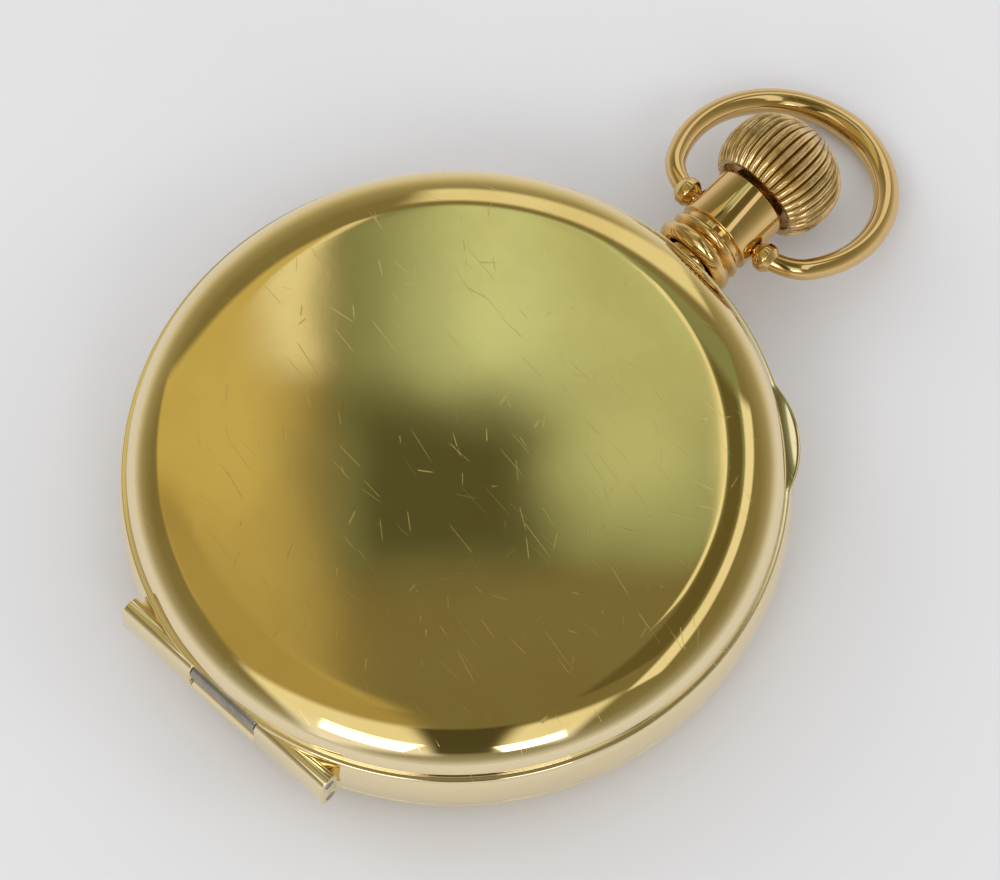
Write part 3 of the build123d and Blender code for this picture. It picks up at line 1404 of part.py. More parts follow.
def hand_face(turn, length, eye_r, hole_r, spade_shares):
    """Hand outline with an eye, a tapered blade and spades at shares of its length."""
    with BuildSketch() as face:
        with Locations(Location((0, 0, 0), (0, 0, turn))):
            Circle(eye_r)
            add(outline([(0, -hand_w / 2), (length, -hand_tip_w / 2), (length, hand_tip_w / 2),
                         (0, hand_w / 2)]))
        for share in spade_shares:
            with Locations(Location((*at_turn(length * share, turn), 0), (0, 0, turn))):
                Circle(spade_r)
                add(outline([at_turn(spade_r, -60), (2 * spade_r, 0), at_turn(spade_r, 60)]))
        Circle(hole_r, mode=Mode.SUBTRACT)
    return face.sketch


# Hands, set at the shown time; clockwise on the dial is a left turn seen from the back
minute_spade_shares = (0.82,)
hour_spade_shares = (0.5, 0.78)
with BuildPart() as minute_hand:
    raised(hand_face(90 + 6 * shown_minutes, minute_hand_l, hand_eye_r, cannon_r, minute_spade_shares),
           minute_hand_z, minute_hand_z + hand_h)
minute_hand.part.label = "minute_hand"
export_step(minute_hand.part, "parts/minute_hand.step")

with BuildPart() as hour_hand:
    raised(hand_face(90 + 30 * shown_hours + shown_minutes / 2, hour_hand_l, hand_eye_r + hour_pipe_wall,
                     hour_pipe_r, hour_spade_shares), hour_hand_z, hour_hand_z + hand_h)
hour_hand.part.label = "hour_hand"
export_step(hour_hand.part, "parts/hour_hand.step")

with BuildPart() as seconds_hand:
    with BuildSketch(Plane.XY.offset(seconds_hand_z)):
        with Locations(fourth_place):
            Circle(seconds_eye_r)
            add(outline([(-hand_tip_w, -seconds_tail_l), (hand_tip_w, -seconds_tail_l),
                         (hand_tip_w / 2, seconds_hand_l), (-hand_tip_w / 2, seconds_hand_l)]))
            Circle(pivot_r, mode=Mode.SUBTRACT)
    extrude(amount=hand_h)
seconds_hand.part.label = "seconds_hand"
export_step(seconds_hand.part, "parts/seconds_hand.step")


def stem_disc(radius, start, end, mode=Mode.ADD):
    """Adds or cuts a round step on the stem's axis."""
    with Locations(Location((0, (start + end) / 2, stem_z), (90, 0, 0))):
        Cylinder(radius, end - start, mode=mode)


# Winding pinion and sliding pinion on the stem
with BuildPart() as winding_pinion:
    with BuildSketch(Plane(origin=(0, winding_pinion_y, stem_z), x_dir=(0, 0, 1), z_dir=(0, 1, 0))):
        add(toothed_face(winding_leaves, face_module, leaf_tooth_share))
        Circle(stem_r + stem_clear, mode=Mode.SUBTRACT)
    extrude(amount=winding_pinion_l)
winding_pinion.part.label = "winding_pinion"
export_step(winding_pinion.part, "parts/winding_pinion.step")

with BuildPart() as clutch_pinion:
    stem_disc(clutch_waist_r, clutch_y, clutch_y + clutch_l)
    stem_disc(clutch_r, clutch_y, clutch_waist_y - clutch_waist_w / 2)
    stem_disc(clutch_r, clutch_waist_y + clutch_waist_w / 2, clutch_y + clutch_l)
    with Locations((0, clutch_waist_y, stem_z)):
        Box(stem_square + 2 * stem_clear, clutch_l, stem_square + 2 * stem_clear, mode=Mode.SUBTRACT)
clutch_pinion.part.label = "clutch_pinion"
export_step(clutch_pinion.part, "parts/clutch_pinion.step")

# Setting lever, its pin in the stem's groove, and the yoke in the sliding pinion's waist
lever_turn = degrees(asin(crown_pull / 2 / lever_arm))
lever_pin_place = (lever_pivot[0] - lever_arm * cos(radians(lever_turn)), stem_groove_y)
with BuildPart() as setting_lever:
    raised(slot_face(lever_pin_place, lever_pivot, lever_w), lever_z, lever_z + lever_h)
    upright(lever_pivot, (lever_eye_r, lever_z, lever_z + lever_h))
    upright(lever_pin_place, (lever_pin_r, stem_z - stem_groove_r / 2, lever_z))
    bore(lever_pivot, screw_shank_r + pin_clear, lever_z, lever_z + lever_h)
setting_lever.part.label = "setting_lever"
export_step(setting_lever.part, "parts/setting_lever.step")

yoke_turn = degrees(asin(crown_pull / 2 / yoke_arm))
yoke_tip = (yoke_pivot[0] - yoke_arm * cos(radians(yoke_turn)) + yoke_w / 2, clutch_waist_y)
with BuildPart() as yoke:
    raised(slot_face(yoke_tip, yoke_pivot, yoke_w), yoke_z, yoke_z + lever_h)
    upright(yoke_pivot, (lever_eye_r, yoke_z, yoke_z + lever_h))
    bore(yoke_pivot, screw_shank_r + pin_clear, yoke_z, yoke_z + lever_h)
yoke.part.label = "yoke"
export_step(yoke.part, "parts/yoke.step")


def beside_escape(reach, turn):
    """Place given from the escape wheel, its direction measured from the line to the pallet arbor."""
    middle = bearing(escape_place, pallet_place)
    return (escape_x + reach * cos(radians(middle + turn)), escape_y + reach * sin(radians(middle + turn)))


def stones_face():
    """Outline of the two pallet stones, just clear of the escape wheel's teeth."""
    with BuildSketch() as face:
        for turn in (-stone_angle, stone_angle):
            middle = beside_escape(escape_r + stone_gap + stone_l / 2, turn)
            with Locations(Location((*middle, 0), (0, 0, bearing(escape_place, middle)))):
                Rectangle(stone_l, stone_w)
    return face.sketch


# Pallet fork on its arbor, and its two stones
fork_top = fork_z + fork_h
fork_head_place = beside_pallet(fork_reach - fork_slot_l / 2, 0)
with BuildPart() as pallet_fork:
    with BuildSketch(Plane.XY.offset(fork_z)):
        for arm_turn in (-stone_angle, stone_angle):
            arm_end = beside_escape(escape_r + stone_gap + stone_l, arm_turn)
            add(slot_face(pallet_place, arm_end, pallet_arm_w))
        add(slot_face(pallet_place, fork_head_place, fork_w))
        with Locations(Location((*fork_head_place, 0), (0, 0, pallet_turn))):
            Rectangle(fork_slot_l + fork_slot_w, fork_head_w)
        with Locations(Location((*beside_pallet(fork_reach, 0), 0), (0, 0, pallet_turn))):
            Rectangle(2 * fork_slot_l, fork_slot_w, mode=Mode.SUBTRACT)
        add(stones_face(), mode=Mode.SUBTRACT)
    extrude(amount=fork_h)
    arbor_steps(pallet_place, pallet_cock_low)
pallet_fork.part.label = "pallet_fork"
export_step(pallet_fork.part, "parts/pallet_fork.step")

with BuildPart() as pallet_stones:
    raised(stones_face(), fork_z, fork_top)
pallet_stones.part.label = "pallet_stones"
export_step(pallet_stones.part, "parts/pallet_stones.step")

# Balance wheel: a cut rim with timing screws, on two arms
balance_top = balance_z + balance_rim_h
with BuildPart() as balance_wheel:
    with BuildSketch(Plane.XY.offset(balance_z)):
        with Locations(balance_place):
            Circle(balance_r)
            Circle(balance_r - balance_rim_w, mode=Mode.SUBTRACT)
            with PolarLocations(balance_r - balance_rim_w / 2, 2, start_angle=balance_cut_turn):
                Rectangle(2 * balance_rim_w, balance_cut_w, mode=Mode.SUBTRACT)
    extrude(amount=balance_rim_h)
    with BuildSketch(Plane.XY.offset(balance_z)):
        with Locations(balance_place):
            Circle(hub_r)
            Rectangle(2 * balance_r - balance_rim_w, balance_arm_w)
            Circle(arbor_r, mode=Mode.SUBTRACT)
    extrude(amount=balance_arm_h)
    for timing_screw in range(timing_screws):
        screw_turn = 360 * (timing_screw + 0.5) / timing_screws
        screw_middle = balance_r + timing_screw_l / 2 - balance_rim_w / 4
        screw_x, screw_y = at_turn(screw_middle, screw_turn)
        screw_origin = (balance_x + screw_x, balance_y + screw_y, balance_z + balance_rim_h / 2)
        with Locations(Plane(origin=screw_origin, z_dir=(screw_x, screw_y, 0))):
            Cylinder(timing_screw_r, timing_screw_l + balance_rim_w / 2)
balance_wheel.part.label = "balance_wheel"
export_step(balance_wheel.part, "parts/balance_wheel.step")

# Balance staff with its roller, impulse pin and hairspring collet
roller_z = plate_back + roller_low
hairspring_z = balance_top + (cock_low - balance_top - spring_h) / 2
with BuildPart() as balance_staff:
    arbor_steps(balance_place, cock_low)
    upright(balance_place, (roller_r, roller_z, roller_z + roller_h),
            (collet_r, balance_top - small_gap, cock_low - small_gap))
    impulse_x, impulse_y = at_turn(impulse_reach, pallet_turn)
    upright((balance_x - impulse_x, balance_y - impulse_y),
            (impulse_pin_r, fork_top + impulse_gap, roller_z))
balance_staff.part.label = "balance_staff"
export_step(balance_staff.part, "parts/balance_staff.step")

with BuildPart() as hairspring:
    with BuildSketch(Plane.XY.offset(hairspring_z)):
        with Locations(balance_place):
            add(spiral_face(spring_inner_r, spring_pitch, spring_turns, spring_thick))
            with Locations(((collet_r + spring_inner_r) / 2, 0)):
                Rectangle(spring_inner_r - collet_r + spring_thick, spring_thick)
            Circle(collet_r, mode=Mode.SUBTRACT)
    extrude(amount=spring_h)
hairspring.part.label = "hairspring"
export_step(hairspring.part, "parts/hairspring.step")

# Regulator on the balance cock
with BuildPart() as regulator:
    with BuildSketch(Plane.XY.offset(cock_high)):
        with Locations(Location((balance_x, balance_y, 0), (0, 0, bearing(balance_place, cock_foot_place)))):
            Circle(regulator_r)
            add(outline([(0, -hand_w / 2), (regulator_l, -hand_tip_w / 2), (regulator_l, hand_tip_w / 2),
                         (0, hand_w / 2)]))
            Circle(jewel_r, mode=Mode.SUBTRACT)
    extrude(amount=regulator_h)
regulator.part.label = "regulator"
export_step(regulator.part, "parts/regulator.step")

# Lock spring: its foot fills the end of the groove, its nib reaches inside the front lid's wall
lock_outer_r = lock_inner_r + lock_w
with BuildPart() as lock_spring:
    raised(sector_face(lock_inner_r, lock_outer_r, (lock_turns[0], lock_turns[1] - lock_foot_turn)),
           front_joint + lock_clear, front_joint + lock_clear + lock_h)
    raised(sector_face(lock_inner_r - lock_clear, lock_outer_r + lock_clear,
                       (lock_turns[1] - lock_foot_turn, lock_turns[1])),
           front_joint + lock_clear, front_joint + 2 * lock_clear + lock_h)
    raised(sector_face(lock_inner_r + lock_nib_inset, lock_outer_r, lock_nib_turns),
           front_joint - lock_nib_l, front_joint + lock_clear)
lock_spring.part.label = "lock_spring"
export_step(lock_spring.part, "parts/lock_spring.step")
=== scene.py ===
"""Half hunter pocket watch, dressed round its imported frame.

Metres throughout: the case axis is Z, the pendant points to +Y, and the back cover faces up.
Sizes in the classes are in millimetres and are turned to metres where a mesh is finished.
"""

import json
import logging
import math
from dataclasses import dataclass
from enum import Enum
from typing import Callable, Iterable, Sequence

import bmesh
import bpy
from mathutils import Matrix, Vector


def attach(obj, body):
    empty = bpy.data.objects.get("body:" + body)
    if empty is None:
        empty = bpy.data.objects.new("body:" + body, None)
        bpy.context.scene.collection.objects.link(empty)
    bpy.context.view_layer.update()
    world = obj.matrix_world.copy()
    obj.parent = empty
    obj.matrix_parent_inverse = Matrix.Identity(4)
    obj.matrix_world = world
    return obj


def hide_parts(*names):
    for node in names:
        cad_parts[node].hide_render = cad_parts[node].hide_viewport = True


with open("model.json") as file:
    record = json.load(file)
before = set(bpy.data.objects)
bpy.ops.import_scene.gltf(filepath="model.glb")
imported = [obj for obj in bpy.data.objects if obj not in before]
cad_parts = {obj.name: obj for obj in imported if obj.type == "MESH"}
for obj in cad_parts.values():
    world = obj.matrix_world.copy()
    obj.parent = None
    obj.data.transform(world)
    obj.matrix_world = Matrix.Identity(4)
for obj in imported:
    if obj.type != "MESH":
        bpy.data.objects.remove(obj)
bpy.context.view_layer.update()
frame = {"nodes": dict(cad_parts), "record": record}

MM = 0.001
Point = tuple[float, float]
log = logging.getLogger("watch")


class Body(Enum):
    """Moving bodies of the frame that new pieces ride on."""

    CASE = "case"
    BACK_LID = "back_lid"
    INNER_LID = "inner_lid"
    FRONT_COVER = "front_cover"
    BOW = "bow"
    CROWN = "stem_and_crown"


class Slot(Enum):
    """Material slots of the record."""

    GOLD = "gold"
    CROWN_GOLD = "crown_gold"
    GOLD_INSIDE = "gold_inside"
    HINGE_STEEL = "hinge_steel"
    STEEL = "steel"
    SPRING_BLUE = "spring_blue"
    GILT = "gilt"
    TRAIN_BRASS = "train_brass"
    ENAMEL_WHITE = "enamel_white"
    ENAMEL_BLUE = "enamel_blue"
    GLASS = "glass"
    RUBY = "ruby"


def linear(hex_code: str, alpha: float = 1.0) -> tuple[float, float, float, float]:
    """Turn an sRGB hex colour into Blender's linear one.

    Args:
        hex_code: Colour as #RRGGBB.
        alpha: Opacity of the result.

    Returns:
        Linear red, green, blue and alpha.
    """
    parts = [int(hex_code[i:i + 2], 16) / 255 for i in (1, 3, 5)]
    red, green, blue = (c / 12.92 if c <= 0.04045 else ((c + 0.055) / 1.055) ** 2.4 for c in parts)
    return red, green, blue, alpha


def add_node(tree: bpy.types.NodeTree, kind: str, settings: dict | None = None,
             links: dict | None = None) -> bpy.types.Node:
    """Add a node with its settings and links.

    Args:
        tree: Node tree that takes the node.
        kind: Blender's name of the node type.
        settings: Properties or inputs of the node, by name or input number, and their values.
        links: Output sockets, by the name or number of the input that each one feeds.

    Returns:
        The new node.
    """
    node = tree.nodes.new(kind)
    for key, value in (settings or {}).items():
        if isinstance(key, str) and hasattr(node, key):
            setattr(node, key, value)
        else:
            node.inputs[key].default_value = value
    for key, socket in (links or {}).items():
        tree.links.new(socket, node.inputs[key])
    return node


def ramp(tree: bpy.types.NodeTree, factor: bpy.types.NodeSocket,
         stops: Sequence[tuple[float, tuple]]) -> bpy.types.NodeSocket:
    """Add a colour ramp.

    Args:
        tree: Node tree that takes it.
        factor: Socket that drives it.
        stops: Position and linear colour of each stop.

    Returns:
        The ramp's colour socket.
    """
    node = add_node(tree, "ShaderNodeValToRGB", links={"Fac": factor})
    elements = node.color_ramp.elements
    while len(elements) < len(stops):
        elements.new(0.5)
    for element, (position, colour) in zip(elements, stops):
        element.position = position
        element.color = colour
    return node.outputs["Color"]


def blank_material(name: str) -> tuple[bpy.types.Material, bpy.types.NodeTree, bpy.types.Node]:
    """Make an empty material.

    Args:
        name: Name of the material.

    Returns:
        The material, its node tree and its output node.
    """
    material = bpy.data.materials.new(name)
    material.use_nodes = True
    tree = material.node_tree
    tree.nodes.clear()
    return material, tree, tree.nodes.new("ShaderNodeOutputMaterial")


def millimetres(tree: bpy.types.NodeTree) -> bpy.types.NodeSocket:
    """Object coordinates in millimetres, so that pattern scales are counts per millimetre."""
    coordinates = add_node(tree, "ShaderNodeTexCoord")
    return add_node(tree, "ShaderNodeMapping", {"Scale": (1 / MM,) * 3},
                    {"Vector": coordinates.outputs["Object"]}).outputs["Vector"]


def noise(tree: bpy.types.NodeTree, place: bpy.types.NodeSocket, scale: float, detail: float = 2.0,
          roughness: float = 0.5) -> bpy.types.NodeSocket:
    """Soft noise with a number of features per millimetre."""
    return add_node(tree, "ShaderNodeTexNoise", {"Scale": scale, "Detail": detail, "Roughness": roughness},
                    {"Vector": place}).outputs["Fac"]


def bump(tree: bpy.types.NodeTree, height: bpy.types.NodeSocket, depth_mm: float,
         under: bpy.types.NodeSocket | None = None) -> bpy.types.NodeSocket:
    """Relief of a depth in millimetres, over another relief where one is given."""
    links = {"Height": height}
    if under is not None:
        links["Normal"] = under
    settings = {"Strength": 1.0, "Distance": depth_mm * MM}
    return add_node(tree, "ShaderNodeBump", settings, links).outputs["Normal"]


def math_node(tree: bpy.types.NodeTree, operation: str,
              *values: float | bpy.types.NodeSocket) -> bpy.types.NodeSocket:
    """One sum on numbers or sockets."""
    settings: dict = {"operation": operation}
    links: dict = {}
    for index, value in enumerate(values):
        (links if isinstance(value, bpy.types.NodeSocket) else settings)[index] = value
    return add_node(tree, "ShaderNodeMath", settings, links).outputs["Value"]


def mixed(tree: bpy.types.NodeTree, factor: bpy.types.NodeSocket, first: tuple | bpy.types.NodeSocket,
          second: tuple | bpy.types.NodeSocket) -> bpy.types.NodeSocket:
    """Mix of two colours, each a linear colour or a socket."""
    node = add_node(tree, "ShaderNodeMix", {"data_type": "RGBA"}, {0: factor})
    for index, colour in ((6, first), (7, second)):
        if isinstance(colour, bpy.types.NodeSocket):
            tree.links.new(colour, node.inputs[index])
        else:
            node.inputs[index].default_value = colour
    return node.outputs[2]


def spread(tree: bpy.types.NodeTree, value: bpy.types.NodeSocket, low: float, high: float,
           out_low: float = 0.0, out_high: float = 1.0) -> bpy.types.NodeSocket:
    """Smooth step of a value between two levels."""
    return add_node(tree, "ShaderNodeMapRange",
                    {"interpolation_type": "SMOOTHSTEP", "From Min": low, "From Max": high,
                     "To Min": out_low, "To Max": out_high}, {"Value": value}).outputs["Result"]


@dataclass(frozen=True)
class Hairlines:
    """Fine straight scratches of handling: turns in degrees, lengths in millimetres, and the share shown."""

    turns: tuple[float, ...]
    length: float
    spacing: float
    shown: float
    width: float
    depth: float

    def height(self, tree: bpy.types.NodeTree, place: bpy.types.NodeSocket) -> bpy.types.NodeSocket:
        """Build the scratches.

        Args:
            tree: Node tree of the material.
            place: Coordinates in millimetres.

        Returns:
            Socket that is 1 on a scratch and 0 beside it.
        """
        total: bpy.types.NodeSocket | None = None
        for index, turn in enumerate(self.turns):
            length = self.length * (1 + 0.35 * (index % 3))
            turned = add_node(tree, "ShaderNodeMapping",
                              {"Rotation": (0.5 + 0.1 * index, 0.35, math.radians(turn)),
                               "Location": (17.3 * index, 5.7 * index, 3.1 * index),
                               "Scale": (1 / length, 1 / self.spacing, 1 / (3 * self.spacing))},
                               {"Vector": place})
            # one cell holds at most one scratch, at a random height across the cell
            source = {0: turned.outputs[0]}
            cell = add_node(tree, "ShaderNodeVectorMath", {"operation": "FLOOR"}, source).outputs[0]
            inside = add_node(tree, "ShaderNodeVectorMath", {"operation": "FRACTION"}, source).outputs[0]
            chance = add_node(tree, "ShaderNodeTexWhiteNoise", links={"Vector": cell})
            axes = add_node(tree, "ShaderNodeSeparateXYZ", links={0: inside})
            lots = add_node(tree, "ShaderNodeSeparateColor", links={0: chance.outputs["Color"]})
            slant = math_node(tree, "MULTIPLY_ADD", axes.outputs["X"],
                              math_node(tree, "MULTIPLY_ADD", lots.outputs[0], 0.5, -0.25), axes.outputs["Y"])
            middle = math_node(tree, "MULTIPLY_ADD", chance.outputs["Value"], 0.4, 0.3)
            off = math_node(tree, "ABSOLUTE", math_node(tree, "SUBTRACT", slant, middle))
            thin = spread(tree, off, 0.3 * self.width / self.spacing, self.width / self.spacing, 1.0, 0.0)
            ends = math_node(tree, "ABSOLUTE", math_node(tree, "SUBTRACT", axes.outputs["X"], 0.5))
            kept = spread(tree, ends, 0.2, 0.48, 1.0, 0.0)
            there = math_node(tree, "LESS_THAN", lots.outputs[1], self.shown)
            depth = math_node(tree, "MULTIPLY_ADD", lots.outputs[2], 0.8, 0.2)
            strength = math_node(tree, "MULTIPLY", there, depth)
            layer = math_node(tree, "MULTIPLY", math_node(tree, "MULTIPLY", thin, kept), strength)
            total = layer if total is None else math_node(tree, "MAXIMUM", total, layer)
        return total


@dataclass(frozen=True)
class Metal:
    """A metal surface: its colours, how it was finished, what handling left on it, and the light and shade
    painted into its colour.
    """

    name: str
    colour: str
    tarnish_and_shade: str
    roughness: float
    rough_spread: float
    cloud_scale: float
    dent_scale: float
    dent_depth: float
    grain_scale: float
    grain_depth: float
    hairlines: Hairlines | None = None
    dirt_and_shade_attribute: str = ""
    rim_highlight_colour: str = ""
    pendant_colour: str = ""

    def rim_highlight_and_pendant_tone(self, tree: bpy.types.NodeTree, place: bpy.types.NodeSocket,
                      colour: bpy.types.NodeSocket) -> bpy.types.NodeSocket:
        """Paint the gold pale along the rim and band as a painted highlight, and let pendant and bow go
        browner.

        Args:
            tree: The material's node tree.
            place: Place on the piece in millimetres.
            colour: Colour so far.

        Returns:
            The colour with its wear.
        """
        flat = add_node(tree, "ShaderNodeVectorMath", {"operation": "MULTIPLY", 1: (1, 1, 0)}, {0: place})
        reach = add_node(tree, "ShaderNodeVectorMath", {"operation": "LENGTH"}, {0: flat.outputs[0]})
        rim = spread(tree, reach.outputs["Value"], 22.9, 24.4)
        along = add_node(tree, "ShaderNodeSeparateXYZ", links={0: place}).outputs["Y"]
        beyond = spread(tree, along, 25.25, 25.35)
        # painted highlight: the rim and band are painted pale
        colour = mixed(tree, rim, colour, linear(self.rim_highlight_colour))
        return mixed(tree, beyond, colour, linear(self.pendant_colour))

    def material(self) -> bpy.types.Material:
        """Build the metal's material.

        Returns:
            The material.
        """
        material, tree, output = blank_material(self.name)
        place = millimetres(tree)
        clouds = spread(tree, noise(tree, place, self.cloud_scale, 4.0, 0.6), 0.42, 0.72)
        colour = mixed(tree, clouds, linear(self.colour), linear(self.tarnish_and_shade))
        rough = math_node(tree, "ADD", math_node(tree, "MULTIPLY", clouds, self.rough_spread), self.roughness)
        # the pale rim and band are a painted highlight
        if self.rim_highlight_colour:
            colour = self.rim_highlight_and_pendant_tone(tree, place, colour)
        relief = bump(tree, noise(tree, place, self.dent_scale, 1.0), self.dent_depth)
        relief = bump(tree, noise(tree, place, self.grain_scale, 3.0), self.grain_depth, relief)
        if self.hairlines:
            lines = self.hairlines.height(tree, place)
            relief = bump(tree, math_node(tree, "SUBTRACT", 1.0, lines), self.hairlines.depth, relief)
            rough = math_node(tree, "ADD", rough, math_node(tree, "MULTIPLY", lines, 0.25))
        if self.dirt_and_shade_attribute:
            # painted shade, old polish and dirt darken the hollows, and handling keeps the crests bright
            settings = {"attribute_name": self.dirt_and_shade_attribute}
            hollow_dirt_and_shade = add_node(tree, "ShaderNodeAttribute", settings).outputs["Fac"]
            crest = spread(tree, hollow_dirt_and_shade, 0.1, 0.75)
            # painted shade and dirt: the hollows take the dark colour
            colour = mixed(tree, crest, linear(self.tarnish_and_shade), colour)
            rough = math_node(tree, "ADD", rough, spread(tree, hollow_dirt_and_shade, 0.0, 0.6, 0.22, 0.0))
        shader = add_node(tree, "ShaderNodeBsdfPrincipled", {"Metallic": 1.0},
                          {"Base Color": colour, "Roughness": rough, "Normal": relief})
        tree.links.new(shader.outputs["BSDF"], output.inputs["Surface"])
        return material


@dataclass(frozen=True)
class Glassy:
    """Clear or coloured stone, glass or glazed enamel."""

    name: str
    colour: str
    cloud: str
    ior: float
    transmission: float
    roughness: float
    cloud_scale: float
    speck_depth: float

    def material(self) -> bpy.types.Material:
        """Build the material.

        Returns:
            The material.
        """
        material, tree, output = blank_material(self.name)
        place = millimetres(tree)
        clouds = spread(tree, noise(tree, place, self.cloud_scale, 3.0), 0.4, 0.75)
        colour = mixed(tree, clouds, linear(self.colour), linear(self.cloud))
        relief = bump(tree, noise(tree, place, 2 * self.cloud_scale, 2.0), self.speck_depth)
        rough = math_node(tree, "ADD", math_node(tree, "MULTIPLY", clouds, 0.05), self.roughness)
        shader = add_node(tree, "ShaderNodeBsdfPrincipled",
                          {"Metallic": 0.0, "IOR": self.ior, "Transmission Weight": self.transmission},
                          {"Base Color": colour, "Roughness": rough, "Normal": relief})
        tree.links.new(shader.outputs["BSDF"], output.inputs["Surface"])
        return material


@dataclass(frozen=True)
class ClearSheet:
    """A flat polished sheet of clear glass, thin enough to bend no light that is seen."""

    name: str
    colour: str
    smear: str
    straight: float
    grazing: float
    smear_scale: float

    def material(self) -> bpy.types.Material:
        """Build the glass: clear straight on, and mirroring more towards grazing.

        Returns:
            The material.
        """
        material, tree, output = blank_material(self.name)
        smears = spread(tree, noise(tree, millimetres(tree), self.smear_scale, 3.0), 0.5, 0.8)
        colour = mixed(tree, smears, linear(self.colour), linear(self.smear))
        facing = add_node(tree, "ShaderNodeLayerWeight", {"Blend": 0.5}).outputs["Facing"]
        edge = math_node(tree, "POWER", facing, 5.0)
        share = math_node(tree, "MULTIPLY_ADD", edge, self.grazing - self.straight, self.straight)
        shader = add_node(tree, "ShaderNodeBsdfPrincipled", {"Metallic": 1.0, "Alpha": self.straight},
                          {"Base Color": colour, "Roughness": math_node(tree, "MULTIPLY", smears, 0.08),
                           "Alpha": share})
        tree.links.new(shader.outputs["BSDF"], output.inputs["Surface"])
        return material


FINISHES: dict[Slot, Metal | Glassy | ClearSheet] = {
    # gold alloy, rolled, spun and polished: mirror bright, with shallow dents and hairlines of a pocket, and
    # a painted highlight along the rim and band
    Slot.GOLD: Metal("polished_gold", "#E9D08A", "#E2C780", 0.03, 0.03, 0.09, 0.085, 0.03, 1.1, 0.0004,
                     Hairlines((8, 31, 52, 77, 101, 126, 163), 3.0, 1.1, 0.12, 0.022, 0.0007),
                     rim_highlight_colour="#F1E0B6", pendant_colour="#E0BE80"),
    # the same gold, turned and ribbed for grip: satin from fingers, dull and painted darker in the grooves
    # and recess, as painted shade and dirt
    Slot.CROWN_GOLD: Metal("satin_crown_gold", "#EACB92", "#9A7A42", 0.17, 0.1, 0.5, 0.6, 0.02, 6.0, 0.004,
                           Hairlines((5, 60, 120), 1.2, 0.5, 0.4, 0.03, 0.002), "crest"),
    # inside of lids: gold left from the spinning tool, cleaner and a little satin
    Slot.GOLD_INSIDE: Metal("spun_gold", "#EFCB7C", "#E4BF71", 0.16, 0.04, 0.15, 0.12, 0.02, 4.0, 0.001),
    # hinge pins and worn knuckles, drawn steel gone grey
    Slot.HINGE_STEEL: Metal("worn_hinge_steel", "#A39E95", "#847E74", 0.26, 0.1, 0.5, 0.9, 0.008, 5.0, 0.004),
    # ground and polished steel of arbors, screws and winding wheels
    Slot.STEEL: Metal("polished_steel", "#C9CACC", "#A9ABAF", 0.12, 0.08, 0.6, 0.5, 0.004, 9.0, 0.0012),
    # steel tempered blue over a flame
    Slot.SPRING_BLUE: Metal("blued_steel", "#24408F", "#2C2A6C", 0.14, 0.06, 0.5, 0.5, 0.003, 8.0, 0.001),
    # brass plates, frosted and fire gilt: a fine dull grain
    Slot.GILT: Metal("frosted_gilt", "#E5B964", "#DAAC59", 0.36, 0.05, 0.2, 0.3, 0.003, 12.0, 0.006),
    # wheels of hard brass, gilt and circular grained
    Slot.TRAIN_BRASS: Metal("polished_brass", "#E2BC62", "#C8994A", 0.18, 0.08, 0.7, 0.5, 0.003, 10.0,
                            0.0015),
    # fired white enamel on a copper disc, glossy with a faint wave
    Slot.ENAMEL_WHITE: Glassy("white_enamel", "#F1EEE4", "#EAE6D9", 1.5, 0.0, 0.06, 0.3, 0.004),
    # dark blue enamel fused into cut numerals
    Slot.ENAMEL_BLUE: Glassy("blue_enamel", "#16204F", "#0F1740", 1.5, 0.0, 0.12, 1.2, 0.01),
    # ground and polished crystal glass
    Slot.GLASS: ClearSheet("crystal_glass", "#FFFFFF", "#F1F5F4", 0.05, 0.9, 0.12),
    # synthetic ruby bearings
    Slot.RUBY: Glassy("ruby", "#C2183E", "#8E0F2C", 1.76, 0.55, 0.02, 1.5, 0.001),
}


class Wardrobe:
    """Keeps one material for each slot and gives it to pieces and nodes."""

    def __init__(self) -> None:
        """Build every finish once."""
        self.made = {slot: finish.material() for slot, finish in FINISHES.items()}

    def dress(self, piece: bpy.types.Object, slot: Slot) -> None:
        """Give a new piece its finish."""
        piece.data.materials.clear()
        piece.data.materials.append(self.made[slot])

    def dress_nodes(self) -> None:
        """Give every CAD node the finish of its slot in the record."""
        for part in frame["record"]["subparts"]:
            node = frame["nodes"][part["node"]]
            finish = self.made[Slot(part["material_slot"])]
            if not node.material_slots:
                node.data.materials.append(finish)
            for material_slot in node.material_slots:
                material_slot.material = finish


def rounded(corners: Sequence[Point], radii: dict[int, float], steps: int = 4) -> list[Point]:
    """Round some corners of a line.

    Args:
        corners: Corner points in order.
        radii: Rounding radius by the number of the corner.
        steps: Pieces in each rounding.

    Returns:
        The line's points with the corners rounded.
    """
    line: list[Point] = []
    for index, corner in enumerate(corners):
        radius = radii.get(index, 0.0)
        if radius <= 0:
            line.append(corner)
            continue
        here = Vector(corner)
        before = (Vector(corners[index - 1]) - here).normalized()
        after = (Vector(corners[(index + 1) % len(corners)]) - here).normalized()
        half = before.angle(after) / 2
        reach = radius / math.tan(half)
        for step in range(steps + 1):
            share = step / steps
            start, end = here + before * reach, here + after * reach
            line.append(tuple((1 - share) ** 2 * start + 2 * share * (1 - share) * here + share ** 2 * end))
    return line


